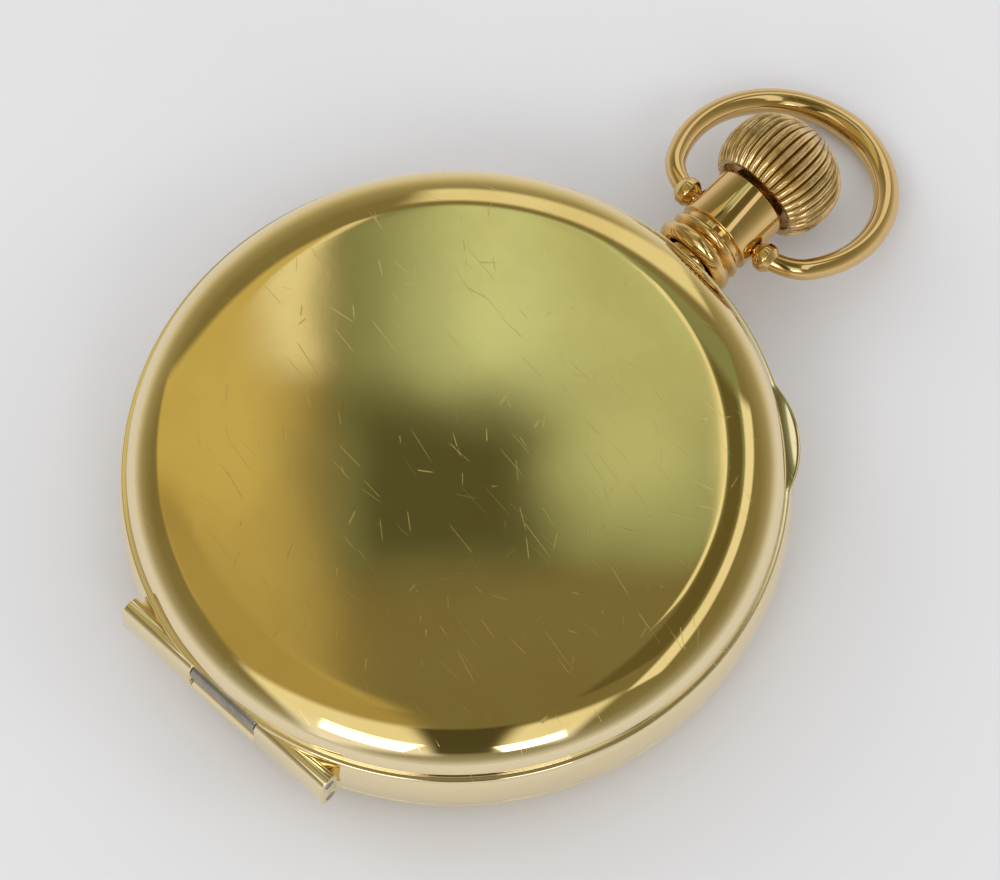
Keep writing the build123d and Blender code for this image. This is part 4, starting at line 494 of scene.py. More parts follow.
def spun(section: Sequence[Point], steps: int, closed: bool, along: str = "Z",
         start: Vector = Vector()) -> bmesh.types.BMesh:
    """Spin a section all the way round an axis.

    Args:
        section: Distance from the axis and level of each point, in millimetres.
        steps: Pieces round the axis.
        closed: Whether the section's last point joins its first.
        along: Axis letter, Z for upright, Y for the stem's direction or X across the pendant.
        start: A point on the axis.

    Returns:
        The closed mesh, in millimetres.
    """
    mesh = bmesh.new()
    axis = Vector((along == "X", along == "Y", along == "Z"))
    side = Vector((1, 0, 0)) if along != "X" else Vector((0, 0, 1))
    points = [mesh.verts.new(start + side * reach + axis * level) for reach, level in section]
    edges = [mesh.edges.new(pair) for pair in zip(points, points[1:])]
    if closed:
        edges.append(mesh.edges.new((points[-1], points[0])))
    bmesh.ops.spin(mesh, geom=points + edges, cent=start, axis=axis, angle=2 * math.pi, steps=steps,
                   use_merge=True, use_duplicate=False)
    bmesh.ops.remove_doubles(mesh, verts=mesh.verts, dist=1e-5)
    bmesh.ops.recalc_face_normals(mesh, faces=mesh.faces)
    return mesh


def finished(name: str, mesh: bmesh.types.BMesh, body: Body, sharp: float = 40.0) -> bpy.types.Object:
    """Turn a mesh in millimetres into a piece in metres that rides on a body.

    Args:
        name: Name of the piece.
        mesh: The mesh, which is freed here.
        body: Body that carries the piece.
        sharp: Edges that turn by more than this many degrees stay sharp.

    Returns:
        The piece.
    """
    bmesh.ops.scale(mesh, vec=(MM,) * 3, verts=mesh.verts)
    data = bpy.data.meshes.new(name)
    mesh.to_mesh(data)
    mesh.free()
    data.shade_smooth()
    data.set_sharp_from_angle(angle=math.radians(sharp))
    piece = bpy.data.objects.new(name, data)
    bpy.context.scene.collection.objects.link(piece)
    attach(piece, body.value)
    log.info("%s rides on %s with %d faces", name, body.value, len(data.polygons))
    return piece


def cut(piece: bpy.types.Object, cutters: Iterable[bmesh.types.BMesh]) -> None:
    """Take cutters in millimetres out of a piece, and free them."""
    tool_mesh = bpy.data.meshes.new("cutter")
    for cutter in cutters:
        bmesh.ops.scale(cutter, vec=(MM,) * 3, verts=cutter.verts)
        cutter.to_mesh(tool_mesh)
        cutter.free()
        tool = bpy.data.objects.new("cutter", tool_mesh)
        bpy.context.scene.collection.objects.link(tool)
        trim = piece.modifiers.new("cut", "BOOLEAN")
        trim.operation, trim.solver, trim.object = "DIFFERENCE", "EXACT", tool
        graph = bpy.context.evaluated_depsgraph_get()
        result = bpy.data.meshes.new_from_object(piece.evaluated_get(graph), depsgraph=graph)
        piece.modifiers.remove(trim)
        old, piece.data = piece.data, result
        result.name = old.name
        bpy.data.meshes.remove(old)
        bpy.data.objects.remove(tool)
    bpy.data.meshes.remove(tool_mesh)
    piece.data.shade_smooth()
    piece.data.set_sharp_from_angle(angle=math.radians(35))


def bar(radius: float, low: float, high: float, along: str, start: Vector, edge: float = 0.0,
        steps: int = 48) -> bmesh.types.BMesh:
    """A round bar with rounded ends, between two levels on an axis."""
    corners = [(0.0, low), (radius, low), (radius, high), (0.0, high)]
    return spun(rounded(corners, {1: edge, 2: edge}), steps, False, along, start)


@dataclass
class Case:
    """Lids, band and hinge of the case. Levels count up from the window ring's flat face."""

    radius: float = 25.0
    dome_radius: float = 24.6
    wall: float = 0.5
    upright: float = 0.7
    shoulder_width: float = 4.6
    shoulder_height: float = 2.95
    sag: float = 0.55
    bead_height: float = 0.45
    gap: float = 0.03
    back_joint: float = 8.3
    front_joint: float = 4.35
    bulge: float = 0.28
    band_inside: float = 22.45
    seat_inside: float = 21.85
    seat_level: float = 4.75
    window: float = 10.25
    steps: int = 360
    hinge_y: float = -24.2
    hinge_half: float = 10.35
    middle_half: float = 3.24
    knuckle: float = 0.85
    back_hinge_z: float = 7.4
    front_hinge_z: float = 5.25
    swing: float = 1.1175
    groove_half: float = 6.353
    lip_turn: float = 50.0
    lip_radius: float = 8.2
    lip_stand: float = 0.9

    def dome_line(self, joint: float, side: int, wall_radius: float, round_width: float,
                  round_height: float, fine: int) -> list[Point]:
        """Line of a lid from its pole over the shoulder to the foot of its upright wall.

        Args:
            joint: Level of the joint with the band.
            side: 1 for the back lid, -1 for the front one.
            wall_radius: Radius of the upright wall.
            round_width: Width of the shoulder.
            round_height: Height of the shoulder.
            fine: Points on each half of the line.

        Returns:
            Reach and level of each point, pole first.
        """
        ease = 0.55
        foot = Vector((wall_radius, joint + side * self.upright))
        shoulder = Vector((wall_radius - round_width, foot.y + side * round_height))
        ball = (shoulder.x ** 2 + self.sag ** 2) / (2 * self.sag)
        fall = 2 * self.sag / shoulder.x * ease * round_width
        line = []
        for step in range(fine):
            reach = shoulder.x * step / fine
            drop = ball - math.sqrt(ball ** 2 - reach ** 2)
            line.append((reach, shoulder.y + side * (self.sag - drop)))
        first = Vector((shoulder.x + ease * round_width, shoulder.y - side * fall))
        second = Vector((wall_radius, foot.y + side * ease * round_height))
        for step in range(fine + 1):
            share = step / fine
            rest = 1 - share
            point = (rest ** 3 * shoulder + 3 * rest ** 2 * share * first + 3 * rest * share ** 2 * second
                     + share ** 3 * foot)
            line.append((point.x, point.y))
        return line

    def lid_section(self, joint: float, side: int) -> list[Point]:
        """Whole section of a lid: outside line, bead, lip and inside line.

        Args:
            joint: Level of the joint with the band.
            side: 1 for the back lid, -1 for the front one.

        Returns:
            The section's points, from the outer pole to the inner one.
        """
        outside = self.dome_line(joint, side, self.dome_radius, self.shoulder_width, self.shoulder_height, 44)
        inner_radius = self.dome_radius - self.wall
        inside = self.dome_line(joint, side, inner_radius, self.shoulder_width - self.wall,
                                self.shoulder_height - self.wall, 16)
        bead, edge = joint + side * self.bead_height, joint + side * self.gap
        corners = [outside[-1], (self.dome_radius, bead), (self.radius, bead), (self.radius, edge),
                   (inner_radius, edge), inside[-1]]
        bead_line = rounded(corners, {1: 0.08, 2: 0.17, 3: 0.12, 4: 0.08}, 5)
        return outside[:-1] + bead_line + inside[-2::-1]

    def over_hinge(self, mesh: bmesh.types.BMesh) -> None:
        """Trim a lid's bead flat where the hinge lies."""
        limit = -self.dome_radius - 0.06
        for vert in mesh.verts:
            if abs(vert.co.x) < self.hinge_half and vert.co.y < limit:
                vert.co.y = limit

    def thumb_lip(self, mesh: bmesh.types.BMesh) -> None:
        """Draw the back lid's bead out into the crescent that a thumbnail lifts."""
        middle = self.radius + self.lip_stand - self.lip_radius
        centre = Vector((middle * math.cos(math.radians(self.lip_turn)),
                         middle * math.sin(math.radians(self.lip_turn))))
        for vert in mesh.verts:
            reach = vert.co.xy.length
            if reach < self.dome_radius + 0.12 or vert.co.z > self.back_joint + self.bead_height + 0.01:
                continue
            direction = vert.co.xy.normalized()
            beside = centre.dot(direction)
            across = centre.length_squared - beside ** 2
            if beside < 0 or across > self.lip_radius ** 2:
                continue
            out = beside + math.sqrt(self.lip_radius ** 2 - across) - self.radius
            if out <= 0:
                continue
            share = (reach - self.dome_radius) / (self.radius - self.dome_radius)
            vert.co.xy = direction * (reach + out * share)
            flat = min(1.0, out / 0.5)
            vert.co.z -= flat * 0.07 * max(0.0, (vert.co.z - self.back_joint - 0.2) / 0.25)

    def lid(self, name: str, joint: float, side: int, body: Body, node: str) -> bpy.types.Object:
        """Build one lid.

        Args:
            name: Name of the piece.
            joint: Level of the joint with the band.
            side: 1 for the back lid, -1 for the front one.
            body: Body that the lid turns with.
            node: CAD node that it stands for.

        Returns:
            The lid.
        """
        section = self.lid_section(joint, side)
        if side < 0:
            section = [point for point in section if point[0] > self.window]
            first, last = section[0], section[-1]
            section = [(self.window, first[1])] + section + [(self.window, last[1])]
            # the enamelled hours stand a hair above the gold round them
            section = [(reach, level + 0.02) if index < 40 and 11.3 < reach < 16.5 else (reach, level)
                       for index, (reach, level) in enumerate(section)]
        mesh = spun(section, self.steps, side < 0)
        if side > 0:
            self.thumb_lip(mesh)
        self.over_hinge(mesh)
        piece = finished(name, mesh, body, 50)
        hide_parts(node)
        return piece

    def band(self) -> bpy.types.Object:
        """Build the band with its bulge, movement seat, hinge grooves and pendant hole.

        Returns:
            The band.
        """
        middle = (self.back_joint + self.front_joint) / 2
        half = (self.back_joint - self.front_joint) / 2
        curve = []
        for step in range(25):
            level = -half + 2 * half * step / 24
            curve.append((self.radius + self.bulge * (1 - (level / half) ** 2), middle + level))
        curve[0], curve[-1] = (self.radius - 0.05, curve[0][1]), (self.radius - 0.05, curve[-1][1])
        inside = [(self.band_inside, self.back_joint), (self.band_inside, self.seat_level),
                  (self.seat_inside, self.seat_level), (self.seat_inside, self.front_joint)]
        mesh = spun(curve + inside, self.steps, True)
        piece = finished("watch_band", mesh, Body.CASE, 35)
        cutters = []
        for axis_z in (self.back_hinge_z, self.front_hinge_z):
            cutters.append(bar(self.swing, -self.groove_half, self.groove_half, "X",
                               Vector((0, self.hinge_y, axis_z))))
        cutters.append(self.hinge_way())
        cutters.append(bar(1.9, 21.0, 27.0, "Y", Vector((0, 0, middle))))
        for turn in (20.0, 200.0):
            place = Vector((21.65 * math.cos(math.radians(turn)), 21.65 * math.sin(math.radians(turn)), 0))
            cutters.append(bar(1.15, 6.35, 9.0, "Z", place))
        cutters.append(bar(0.48, -1.5, 1.5, "X", Vector((0, -22.9, 8.65))))
        cut(piece, cutters)
        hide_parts("case_band")
        return piece

    def hinge_way(self) -> bmesh.types.BMesh:
        """The block of air outside the hinges, in which both lids swing."""
        low, high, depth = self.front_hinge_z - self.swing, self.back_hinge_z + self.swing, 4.0
        mesh = bmesh.new()
        bmesh.ops.create_cube(mesh, size=1.0)
        bmesh.ops.scale(mesh, vec=(2 * self.groove_half, depth, high - low), verts=mesh.verts)
        bmesh.ops.translate(mesh, vec=(0, self.hinge_y - depth / 2, (low + high) / 2), verts=mesh.verts)
        return mesh

    def hinge(self, wardrobe: Wardrobe) -> None:
        """Build the knuckles of both lid hinges, the band's outer ones and the lids' middle ones."""
        for label, axis_z, body, side in (("back", self.back_hinge_z, Body.BACK_LID, 1),
                                          ("front", self.front_hinge_z, Body.FRONT_COVER, -1)):
            start = Vector((0, self.hinge_y, axis_z))
            middle = finished(f"{label}_middle_knuckle",
                              self.tube(-self.middle_half, self.middle_half, start), body)
            wardrobe.dress(middle, Slot.HINGE_STEEL if side > 0 else Slot.GOLD)
            leaf = finished(f"{label}_hinge_leaf", self.leaf(axis_z, side), body)
            wardrobe.dress(leaf, Slot.GOLD)
            for end, word in ((-1, "left"), (1, "right")):
                inner, outer = 3.3 * end, self.hinge_half * end
                mesh = self.tube(min(inner, outer), max(inner, outer), start)
                knuckle = finished(f"{label}_{word}_knuckle", mesh, Body.CASE)
                wardrobe.dress(knuckle, Slot.GOLD)
        for end, word in ((-1, "left"), (1, "right")):
            housing = finished(f"{word}_hinge_housing", self.housing(end), Body.CASE)
            wardrobe.dress(housing, Slot.GOLD)

    def tube(self, low: float, high: float, start: Vector) -> bmesh.types.BMesh:
        """A hinge knuckle: a tube with softened ends, bored for the pin."""
        bore = 0.45
        corners = [(bore, low), (self.knuckle, low), (self.knuckle, high), (bore, high)]
        return spun(rounded(corners, {1: 0.1, 2: 0.1}), 48, True, "X", start)

    def housing(self, end: int) -> bmesh.types.BMesh:
        """The solid wall that joins a side's back and front knuckles into one smooth bulge."""
        low, high = 3.34, self.hinge_half - 0.04
        mesh = bmesh.new()
        bmesh.ops.create_cube(mesh, size=1.0)
        bmesh.ops.scale(mesh, vec=(high - low, 1.6, self.back_hinge_z - self.front_hinge_z), verts=mesh.verts)
        outer = self.hinge_y - self.knuckle
        bmesh.ops.translate(mesh, vec=(end * (low + high) / 2, outer + 0.8,
                                       (self.back_hinge_z + self.front_hinge_z) / 2), verts=mesh.verts)
        bmesh.ops.bevel(mesh, geom=mesh.edges[:], offset=0.03, offset_type="OFFSET", affect="EDGES",
                        segments=2, profile=0.5, material=-1)
        return mesh

    def leaf(self, axis_z: float, side: int) -> bmesh.types.BMesh:
        """The leaf that joins a lid to its middle knuckle, with softened edges."""
        joint = axis_z + side * 0.9
        low, high = sorted((axis_z, joint + side * 0.5))
        mesh = bmesh.new()
        bmesh.ops.create_cube(mesh, size=1.0)
        bmesh.ops.scale(mesh, vec=(2 * self.middle_half, 0.75, high - low), verts=mesh.verts)
        bmesh.ops.translate(mesh, vec=(0, self.hinge_y - 0.06 + 0.375, (low + high) / 2), verts=mesh.verts)
        bmesh.ops.bevel(mesh, geom=mesh.edges[:], offset=0.06, offset_type="OFFSET", affect="EDGES",
                        segments=2, profile=0.5, material=-1)
        return mesh

    def build(self, wardrobe: Wardrobe) -> None:
        """Build and dress the whole case."""
        wardrobe.dress(self.lid("back_lid", self.back_joint, 1, Body.BACK_LID, "back_cover"), Slot.GOLD)
        front = self.lid("half_hunter_lid", self.front_joint, -1, Body.FRONT_COVER, "front_lid")
        wardrobe.dress(front, Slot.GOLD)
        wardrobe.dress(self.band(), Slot.GOLD)
        self.hinge(wardrobe)


@dataclass
class Pendant:
    """Pendant tube, ribbed crown and bow, on the stem's axis."""

    axis_z: float = 6.325
    base: float = 25.35
    neck: float = 1.9
    waist: float = 2.75
    bead_one: float = 3.35
    bead_one_length: float = 1.5
    bead_two: float = 3.2
    bead_two_length: float = 0.9
    collar: float = 3.15
    collar_start: float = 28.25
    top: float = 32.65
    top_radius: float = 3.05
    mouth: float = 2.45
    mouth_depth: float = 1.7
    crown_start: float = 32.85
    crown_length: float = 6.85
    crown_radius: float = 4.85
    crown_mouth: float = 3.9
    crown_recess: float = 3.35
    recess_depth: float = 0.7
    crown_core: float = 2.35
    crown_core_length: float = 1.5
    ribs: int = 40
    rib_depth: float = 0.25
    pivot_y: float = 29.7
    half_width: float = 8.05
    half_length: float = 8.85
    centre: float = 6.45
    end_x: float = 4.2
    end_radius: float = 0.75
    apex_radius: float = 1.12
    tilt: float = 19.8092

    def start(self) -> Vector:
        """A point on the stem's axis."""
        return Vector((0, 0, self.axis_z))

    def tube(self) -> bpy.types.Object:
        """Build the pendant with its two beads, collar and hollow mouth.

        Returns:
            The pendant.
        """
        line: list[Point] = [(0.6, 23.45), (self.neck, 23.45), (self.neck, self.base),
                             (self.waist, self.base)]
        level = self.base
        for radius, length in ((self.bead_one, self.bead_one_length), (self.bead_two, self.bead_two_length)):
            for step in range(1, 17):
                share = step / 16
                line.append((self.waist + (radius - self.waist) * math.sin(math.pi * share) ** 0.75,
                             level + length * share))
            level += length
        collar = [(self.waist, level + 0.4), (self.collar, self.collar_start),
                  (self.top_radius + 0.01, self.top - 0.25), (self.top_radius - 0.25, self.top),
                  (self.mouth, self.top), (self.mouth, self.top - self.mouth_depth),
                  (0.6, self.top - self.mouth_depth)]
        line += rounded(collar, {1: 0.12, 2: 0.12, 3: 0.1, 4: 0.06}, 4)
        piece = finished("pendant_tube", spun(line, 128, True, "Y", self.start()), Body.CASE, 42)
        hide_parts("pendant")
        return piece

    def crown_reach(self, share: float) -> float:
        """Radius of the crown's crests at a share of its length, as an eased line through its sections."""
        stops = [(0.0, self.crown_mouth), (0.06, 0.872 * self.crown_radius),
                 (0.18, 0.955 * self.crown_radius), (0.42, self.crown_radius),
                 (0.68, 0.92 * self.crown_radius), (0.88, 0.65 * self.crown_radius),
                 (0.97, 0.36 * self.crown_radius), (1.0, 0.9 * 0.9)]
        for index in range(len(stops) - 1):
            (low, first), (high, second) = stops[index], stops[index + 1]
            if share <= high:
                before = stops[max(index - 1, 0)]
                after = stops[min(index + 2, len(stops) - 1)]
                slope_in = (second - before[1]) / (high - before[0])
                slope_out = (after[1] - first) / (after[0] - low)
                t = (share - low) / (high - low)
                width = high - low
                return ((2 * t ** 3 - 3 * t ** 2 + 1) * first + (t ** 3 - 2 * t ** 2 + t) * width * slope_in
                        + (3 * t ** 2 - 2 * t ** 3) * second + (t ** 3 - t ** 2) * width * slope_out)
        return stops[-1][1]

    def crown(self) -> bpy.types.Object:
        """Build the onion crown: spun, then its ribs pressed in between the crests.

        Returns:
            The crown.
        """
        around = 12 * self.ribs
        line: list[Point] = [(0.58, self.crown_start - self.crown_core_length),
                             (self.crown_core, self.crown_start - self.crown_core_length),
                             (self.crown_core, self.crown_start + self.recess_depth),
                             (self.crown_recess, self.crown_start + self.recess_depth),
                             (self.crown_recess, self.crown_start + 0.1),
                             (self.crown_recess + 0.1, self.crown_start)]
        stations = 44
        for step in range(stations + 1):
            share = 1 - math.cos(math.pi * step / stations)
            share /= 2
            line.append((self.crown_reach(share), self.crown_start + self.crown_length * share))
        tip = self.crown_start + self.crown_length
        line += [(0.6, tip - 0.01), (0.0, tip)]
        mesh = spun(line, around, False, "Y", self.start())
        self.close_core(mesh)
        crest = mesh.verts.layers.float.new("crest")
        for vert in mesh.verts:
            from_axis = Vector((vert.co.x, 0, vert.co.z - self.axis_z))
            reach = from_axis.length
            share = (vert.co.y - self.crown_start) / self.crown_length
            vert[crest] = 0.25
            # the recess and the core take a middle value, so they are painted half dark: painted shade in the
            # recess
            if reach < 1e-6 or share < -0.01 or reach < self.crown_recess + 0.12 and share < 0.2:
                vert[crest] = 0.5
                continue
            turn = math.atan2(from_axis.z, from_axis.x) * self.ribs / (2 * math.pi)
            wave = abs(math.sin(math.pi * (turn + 0.5)))
            height = wave ** 0.8
            fade = min(1.0, max(0.0, (reach - 0.75) / 1.1))
            depth = self.rib_depth * 1.25 * min(1.0, reach / self.crown_radius + 0.12) * fade
            new_reach = reach - depth * (1 - height)
            vert.co.x *= new_reach / reach
            vert.co.z = self.axis_z + from_axis.z * new_reach / reach
            # the grooves between ribs take low values, so they are painted darker: painted shade and dirt;
            # the crests keep the plain gold
            vert[crest] = height if fade > 0.5 else 0.8
        piece = finished("onion_crown", mesh, Body.CROWN, 60)
        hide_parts("crown")
        return piece

    def close_core(self, mesh: bmesh.types.BMesh) -> None:
        """Close the open end of a spun shape's core."""
        rim = [edge for edge in mesh.edges if edge.is_boundary]
        bmesh.ops.holes_fill(mesh, edges=rim, sides=0)
        bmesh.ops.recalc_face_normals(mesh, faces=mesh.faces)

    def bow_station(self, share: float) -> tuple[Vector, Vector, float]:
        """One station on the bow's ring.

        Args:
            share: Place on the ring, from 0 at the left end to 1 at the right one.

        Returns:
            The middle of the wire, its direction and its radius.
        """
        drop = math.radians(self.tilt)
        forward = Vector((0, math.cos(drop), -math.sin(drop)))
        across = Vector((1, 0, 0))
        pivot = Vector((0, self.pivot_y, self.axis_z))
        hook = 0.09
        from_end = min(share, 1 - share)
        if from_end < hook:
            # the ends hook inwards to the bosses
            step = from_end / hook
            first, pull, last = Vector((self.end_x, 0)), Vector((6.25, 0.55)), self.oval(-30)
            place = (1 - step) ** 2 * first + 2 * step * (1 - step) * pull + step ** 2 * last
            heading = (1 - step) * (pull - first) + step * (last - pull)
        else:
            turn = -30 + 120 * (from_end - hook) / (0.5 - hook)
            place, heading = self.oval(turn), self.oval(turn + 0.5) - self.oval(turn - 0.5)
        side = 1 if share > 0.5 else -1
        middle = pivot + across * place.x * side + forward * place.y
        ahead = (-across * heading.x - forward * heading.y * side).normalized()
        from_apex = abs(2 * share - 1)
        return middle, ahead, self.apex_radius + (self.end_radius - self.apex_radius) * from_apex

    def oval(self, turn: float) -> Vector:
        """A point on the bow's oval, at a turn in degrees from its right."""
        angle = math.radians(turn)
        return Vector((self.half_width * math.cos(angle), self.centre + self.half_length * math.sin(angle)))

    def bow(self) -> bpy.types.Object:
        """Build the bow: a tapered ring drawn along its oval, with rounded ends.

        Returns:
            The bow.
        """
        mesh = bmesh.new()
        stations, around = 112, 36
        up = Vector((0, math.sin(math.radians(self.tilt)), math.cos(math.radians(self.tilt))))
        middle, ahead, radius = self.bow_station(0.0)
        shares = [(0.0, 0.05, -0.85), (0.0, 0.5, -0.7), (0.0, 0.85, -0.4)]
        shares += [(step / stations, 1.0, 0.0) for step in range(stations + 1)]
        shares += [(1.0, 0.85, 0.4), (1.0, 0.5, 0.7), (1.0, 0.05, 0.85)]
        ring: list = []
        for share, size, shift in shares:
            middle, ahead, radius = self.bow_station(share)
            side = ahead.cross(up).normalized()
            turn = Matrix((side, up, side.cross(up))).transposed()
            place = Matrix.Translation(middle + ahead * shift * radius) @ turn.to_4x4()
            loop = bmesh.ops.create_circle(mesh, segments=around, radius=radius * size, matrix=place)["verts"]
            edges = list({edge for vert in loop for edge in vert.link_edges})
            if ring:
                bmesh.ops.bridge_loops(mesh, edges=ring + edges)
            ring = edges
        bmesh.ops.holes_fill(mesh, edges=[edge for edge in mesh.edges if edge.is_boundary], sides=0)
        bmesh.ops.recalc_face_normals(mesh, faces=mesh.faces)
        piece = finished("bow_ring", mesh, Body.BOW, 60)
        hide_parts("bow")
        return piece

    def bosses(self, wardrobe: Wardrobe) -> None:
        """Build the collars that the bow's ends turn on, one each side of the pendant."""
        start = Vector((0, self.pivot_y, self.axis_z))
        for end, word in ((-1, "left"), (1, "right")):
            corners = [(0.0, 2.7), (0.5, 2.7), (0.5, 3.25), (0.75, 3.25), (1.16, 3.75), (1.16, 4.35),
                       (0.75, 4.85), (0.0, 4.85)]
            line = rounded(corners, {3: 0.06, 4: 0.3, 5: 0.3, 6: 0.1}, 5)
            if end < 0:
                line = [(reach, -level) for reach, level in line]
            mesh = spun(line, 48, False, "X", start)
            wardrobe.dress(finished(f"{word}_bow_boss", mesh, Body.BOW), Slot.GOLD)

    def build(self, wardrobe: Wardrobe) -> None:
        """Build and dress pendant, crown and bow."""
        wardrobe.dress(self.tube(), Slot.GOLD)
        wardrobe.dress(self.crown(), Slot.CROWN_GOLD)
        wardrobe.dress(self.bow(), Slot.GOLD)
        self.bosses(wardrobe)


@dataclass
class DialPrint:
    """Printing on the enamel dial, which faces the front: minute track, Roman hours and seconds track."""

    face: float = 4.15
    height: float = 0.02
    sunk: float = 0.005
    track_inner: float = 18.0
    track_outer: float = 18.9
    track_line: float = 0.1
    hour_middle: float = 15.1
    hour_height: float = 3.9
    stroke: float = 0.62
    hair: float = 0.18
    seconds_y: float = -10.5
    seconds_sink: float = 0.15
    seconds_inner: float = 3.3
    seconds_outer: float = 3.85
    letter_widths: tuple[tuple[str, float], ...] = (("I", 1.0), ("V", 2.2), ("X", 2.4))

    def level(self, sink: float = 0.0) -> float:
        """Middle level of the printed ink, on the dial or in its sunk seconds."""
        return self.face + sink + self.sunk - self.height / 2

    def mark(self, mesh: bmesh.types.BMesh, place: Matrix, middle: float, width: float, length: float,
             lean: float = 0.0) -> None:
        """Add one straight mark.

        Args:
            mesh: Mesh that takes it.
            place: Place of the numeral or tick that it belongs to.
            middle: Shift of the mark to the side.
            width: Its width.
            length: Its length.
            lean: Its slant in radians.
        """
        shape = Matrix.Diagonal((width, length, self.height, 1))
        matrix = place @ Matrix.Translation((middle, 0, 0)) @ Matrix.Rotation(lean, 4, "Z") @ shape
        bmesh.ops.create_cube(mesh, size=1.0, matrix=matrix)

    def numeral(self, mesh: bmesh.types.BMesh, place: Matrix, word: str) -> None:
        """Add a Roman numeral, its first letter to the left as seen from the front.

        Args:
            mesh: Mesh that takes it.
            place: Place of the numeral.
            word: The numeral's letters.
        """
        widths = dict(self.letter_widths)
        start = sum(widths[letter] for letter in word) / 2
        for letter in word:
            width = widths[letter]
            middle = start - width / 2
            start -= width
            serif = 0.85 * width
            if letter == "I":
                self.mark(mesh, place, middle, self.stroke, self.hour_height)
            elif letter == "V":
                quarter = (width - self.stroke) / 4
                lean = math.atan2(2 * quarter, self.hour_height)
                self.mark(mesh, place, middle + quarter, self.stroke, self.hour_height, -lean)
                self.mark(mesh, place, middle - quarter, self.hair, self.hour_height, lean)
            else:
                lean = math.atan2(width - 1.5 * self.stroke, self.hour_height)
                self.mark(mesh, place, middle, self.stroke, self.hour_height, -lean)
                self.mark(mesh, place, middle, self.hair, self.hour_height, lean)
            for end in (-1, 1):
                if letter != "V" or end > 0:
                    serif_place = place @ Matrix.Translation((0, end * self.hour_height / 2, 0))
                    self.mark(mesh, serif_place, middle, serif, self.hair)

    def ticks(self, centre_y: float, sink: float, inner: float, outer: float, thin: float,
              thick: float) -> bmesh.types.BMesh:
        """Sixty ticks round a centre, every fifth one thicker.

        Args:
            centre_y: Place of the centre along the stem's axis.
            sink: How far the enamel is sunk there.
            inner: Radius at which the ticks start.
            outer: Radius at which they end.
            thin: Width of a tick.
            thick: Width of every fifth tick.

        Returns:
            The ticks.
        """
        mesh = bmesh.new()
        for step in range(60):
            place = (Matrix.Translation((0, centre_y, self.level(sink)))
                     @ Matrix.Rotation(math.radians(6 * step), 4, "Z")
                     @ Matrix.Translation((0, (inner + outer) / 2, 0)))
            self.mark(mesh, place, 0, thin if step % 5 else thick, outer - inner)
        return mesh

    def circle(self, centre_y: float, sink: float, radius: float) -> bmesh.types.BMesh:
        """A thin printed circle."""
        low, high = self.level(sink) - self.height / 2, self.level(sink) + self.height / 2
        inner, outer = radius - self.track_line / 2, radius + self.track_line / 2
        return spun([(inner, low), (outer, low), (outer, high), (inner, high)], 180, True, "Z",
                    Vector((0, centre_y, 0)))

    def build(self, wardrobe: Wardrobe) -> None:
        """Build the printing, all of it fixed to the case."""
        hours = bmesh.new()
        words = ("I", "II", "III", "IIII", "V", "", "VII", "VIII", "IX", "X", "XI", "XII")
        for hour, word in enumerate(words, 1):
            # the seconds stand where the six would be
            if word:
                place = (Matrix.Rotation(math.radians(30 * hour), 4, "Z")
                         @ Matrix.Translation((0, self.hour_middle, self.level())))
                self.numeral(hours, place, word)
        printed = {
            "dial_hours": hours,
            "minute_ticks": self.ticks(0, 0, self.track_inner, self.track_outer, 0.12, 0.4),
            "minute_track_inside": self.circle(0, 0, self.track_inner),
            "minute_track_outside": self.circle(0, 0, self.track_outer),
            "second_ticks": self.ticks(self.seconds_y, self.seconds_sink, self.seconds_inner,
                                       self.seconds_outer, 0.07, 0.2),
            "seconds_track_inside": self.circle(self.seconds_y, self.seconds_sink, self.seconds_inner),
            "seconds_track_outside": self.circle(self.seconds_y, self.seconds_sink, self.seconds_outer),
        }
        for name, mesh in printed.items():
            wardrobe.dress(finished(name, mesh, Body.CASE), Slot.ENAMEL_BLUE)


@dataclass
class Camera:
    """The photograph's view: turn, height and roll in degrees, distances in millimetres."""

    turn: float = 44.521
    height: float = 65.907
    roll: float = -0.901
    distance: float = 600.0
    focal_pixels: float = 8016.3
    picture_width: float = 1000.0
    aim: tuple[float, float, float] = (0.423, 4.34, 8.0)

    def axes(self) -> tuple[Vector, Vector, Vector]:
        """Right, up and backward directions of the camera."""
        turn, height, roll = (math.radians(angle) for angle in (self.turn, self.height, self.roll))
        level = math.cos(height)
        back = Vector((math.sin(turn) * level, -math.cos(turn) * level, math.sin(height)))
        level_right = Vector((math.cos(turn), math.sin(turn), 0))
        level_up = back.cross(level_right)
        right = math.cos(roll) * level_right + math.sin(roll) * level_up
        return right, back.cross(right), back

    def place(self) -> None:
        """Add the camera and make it the scene's own."""
        right, up, back = self.axes()
        data = bpy.data.cameras.new("camera")
        data.sensor_fit, data.sensor_width = "HORIZONTAL", 36.0
        data.lens = self.focal_pixels / self.picture_width * data.sensor_width
        data.clip_start, data.clip_end = 0.01, 20.0
        camera = bpy.data.objects.new("camera", data)
        camera.matrix_world = (Matrix.Translation((Vector(self.aim) + back * self.distance) * MM)
                               @ Matrix((right, up, back)).transposed().to_4x4())
        bpy.context.scene.collection.objects.link(camera)
        bpy.context.scene.camera = camera


@dataclass(frozen=True)
class Card:
    """A soft card of the studio, as metal sees it overhead: two corners, softness of its edge and colour.

    Corners are (right, forward) shares of the direction, as the camera stands.
    """

    first: tuple[float, float]
    second: tuple[float, float]
    edge: float
    colour: str


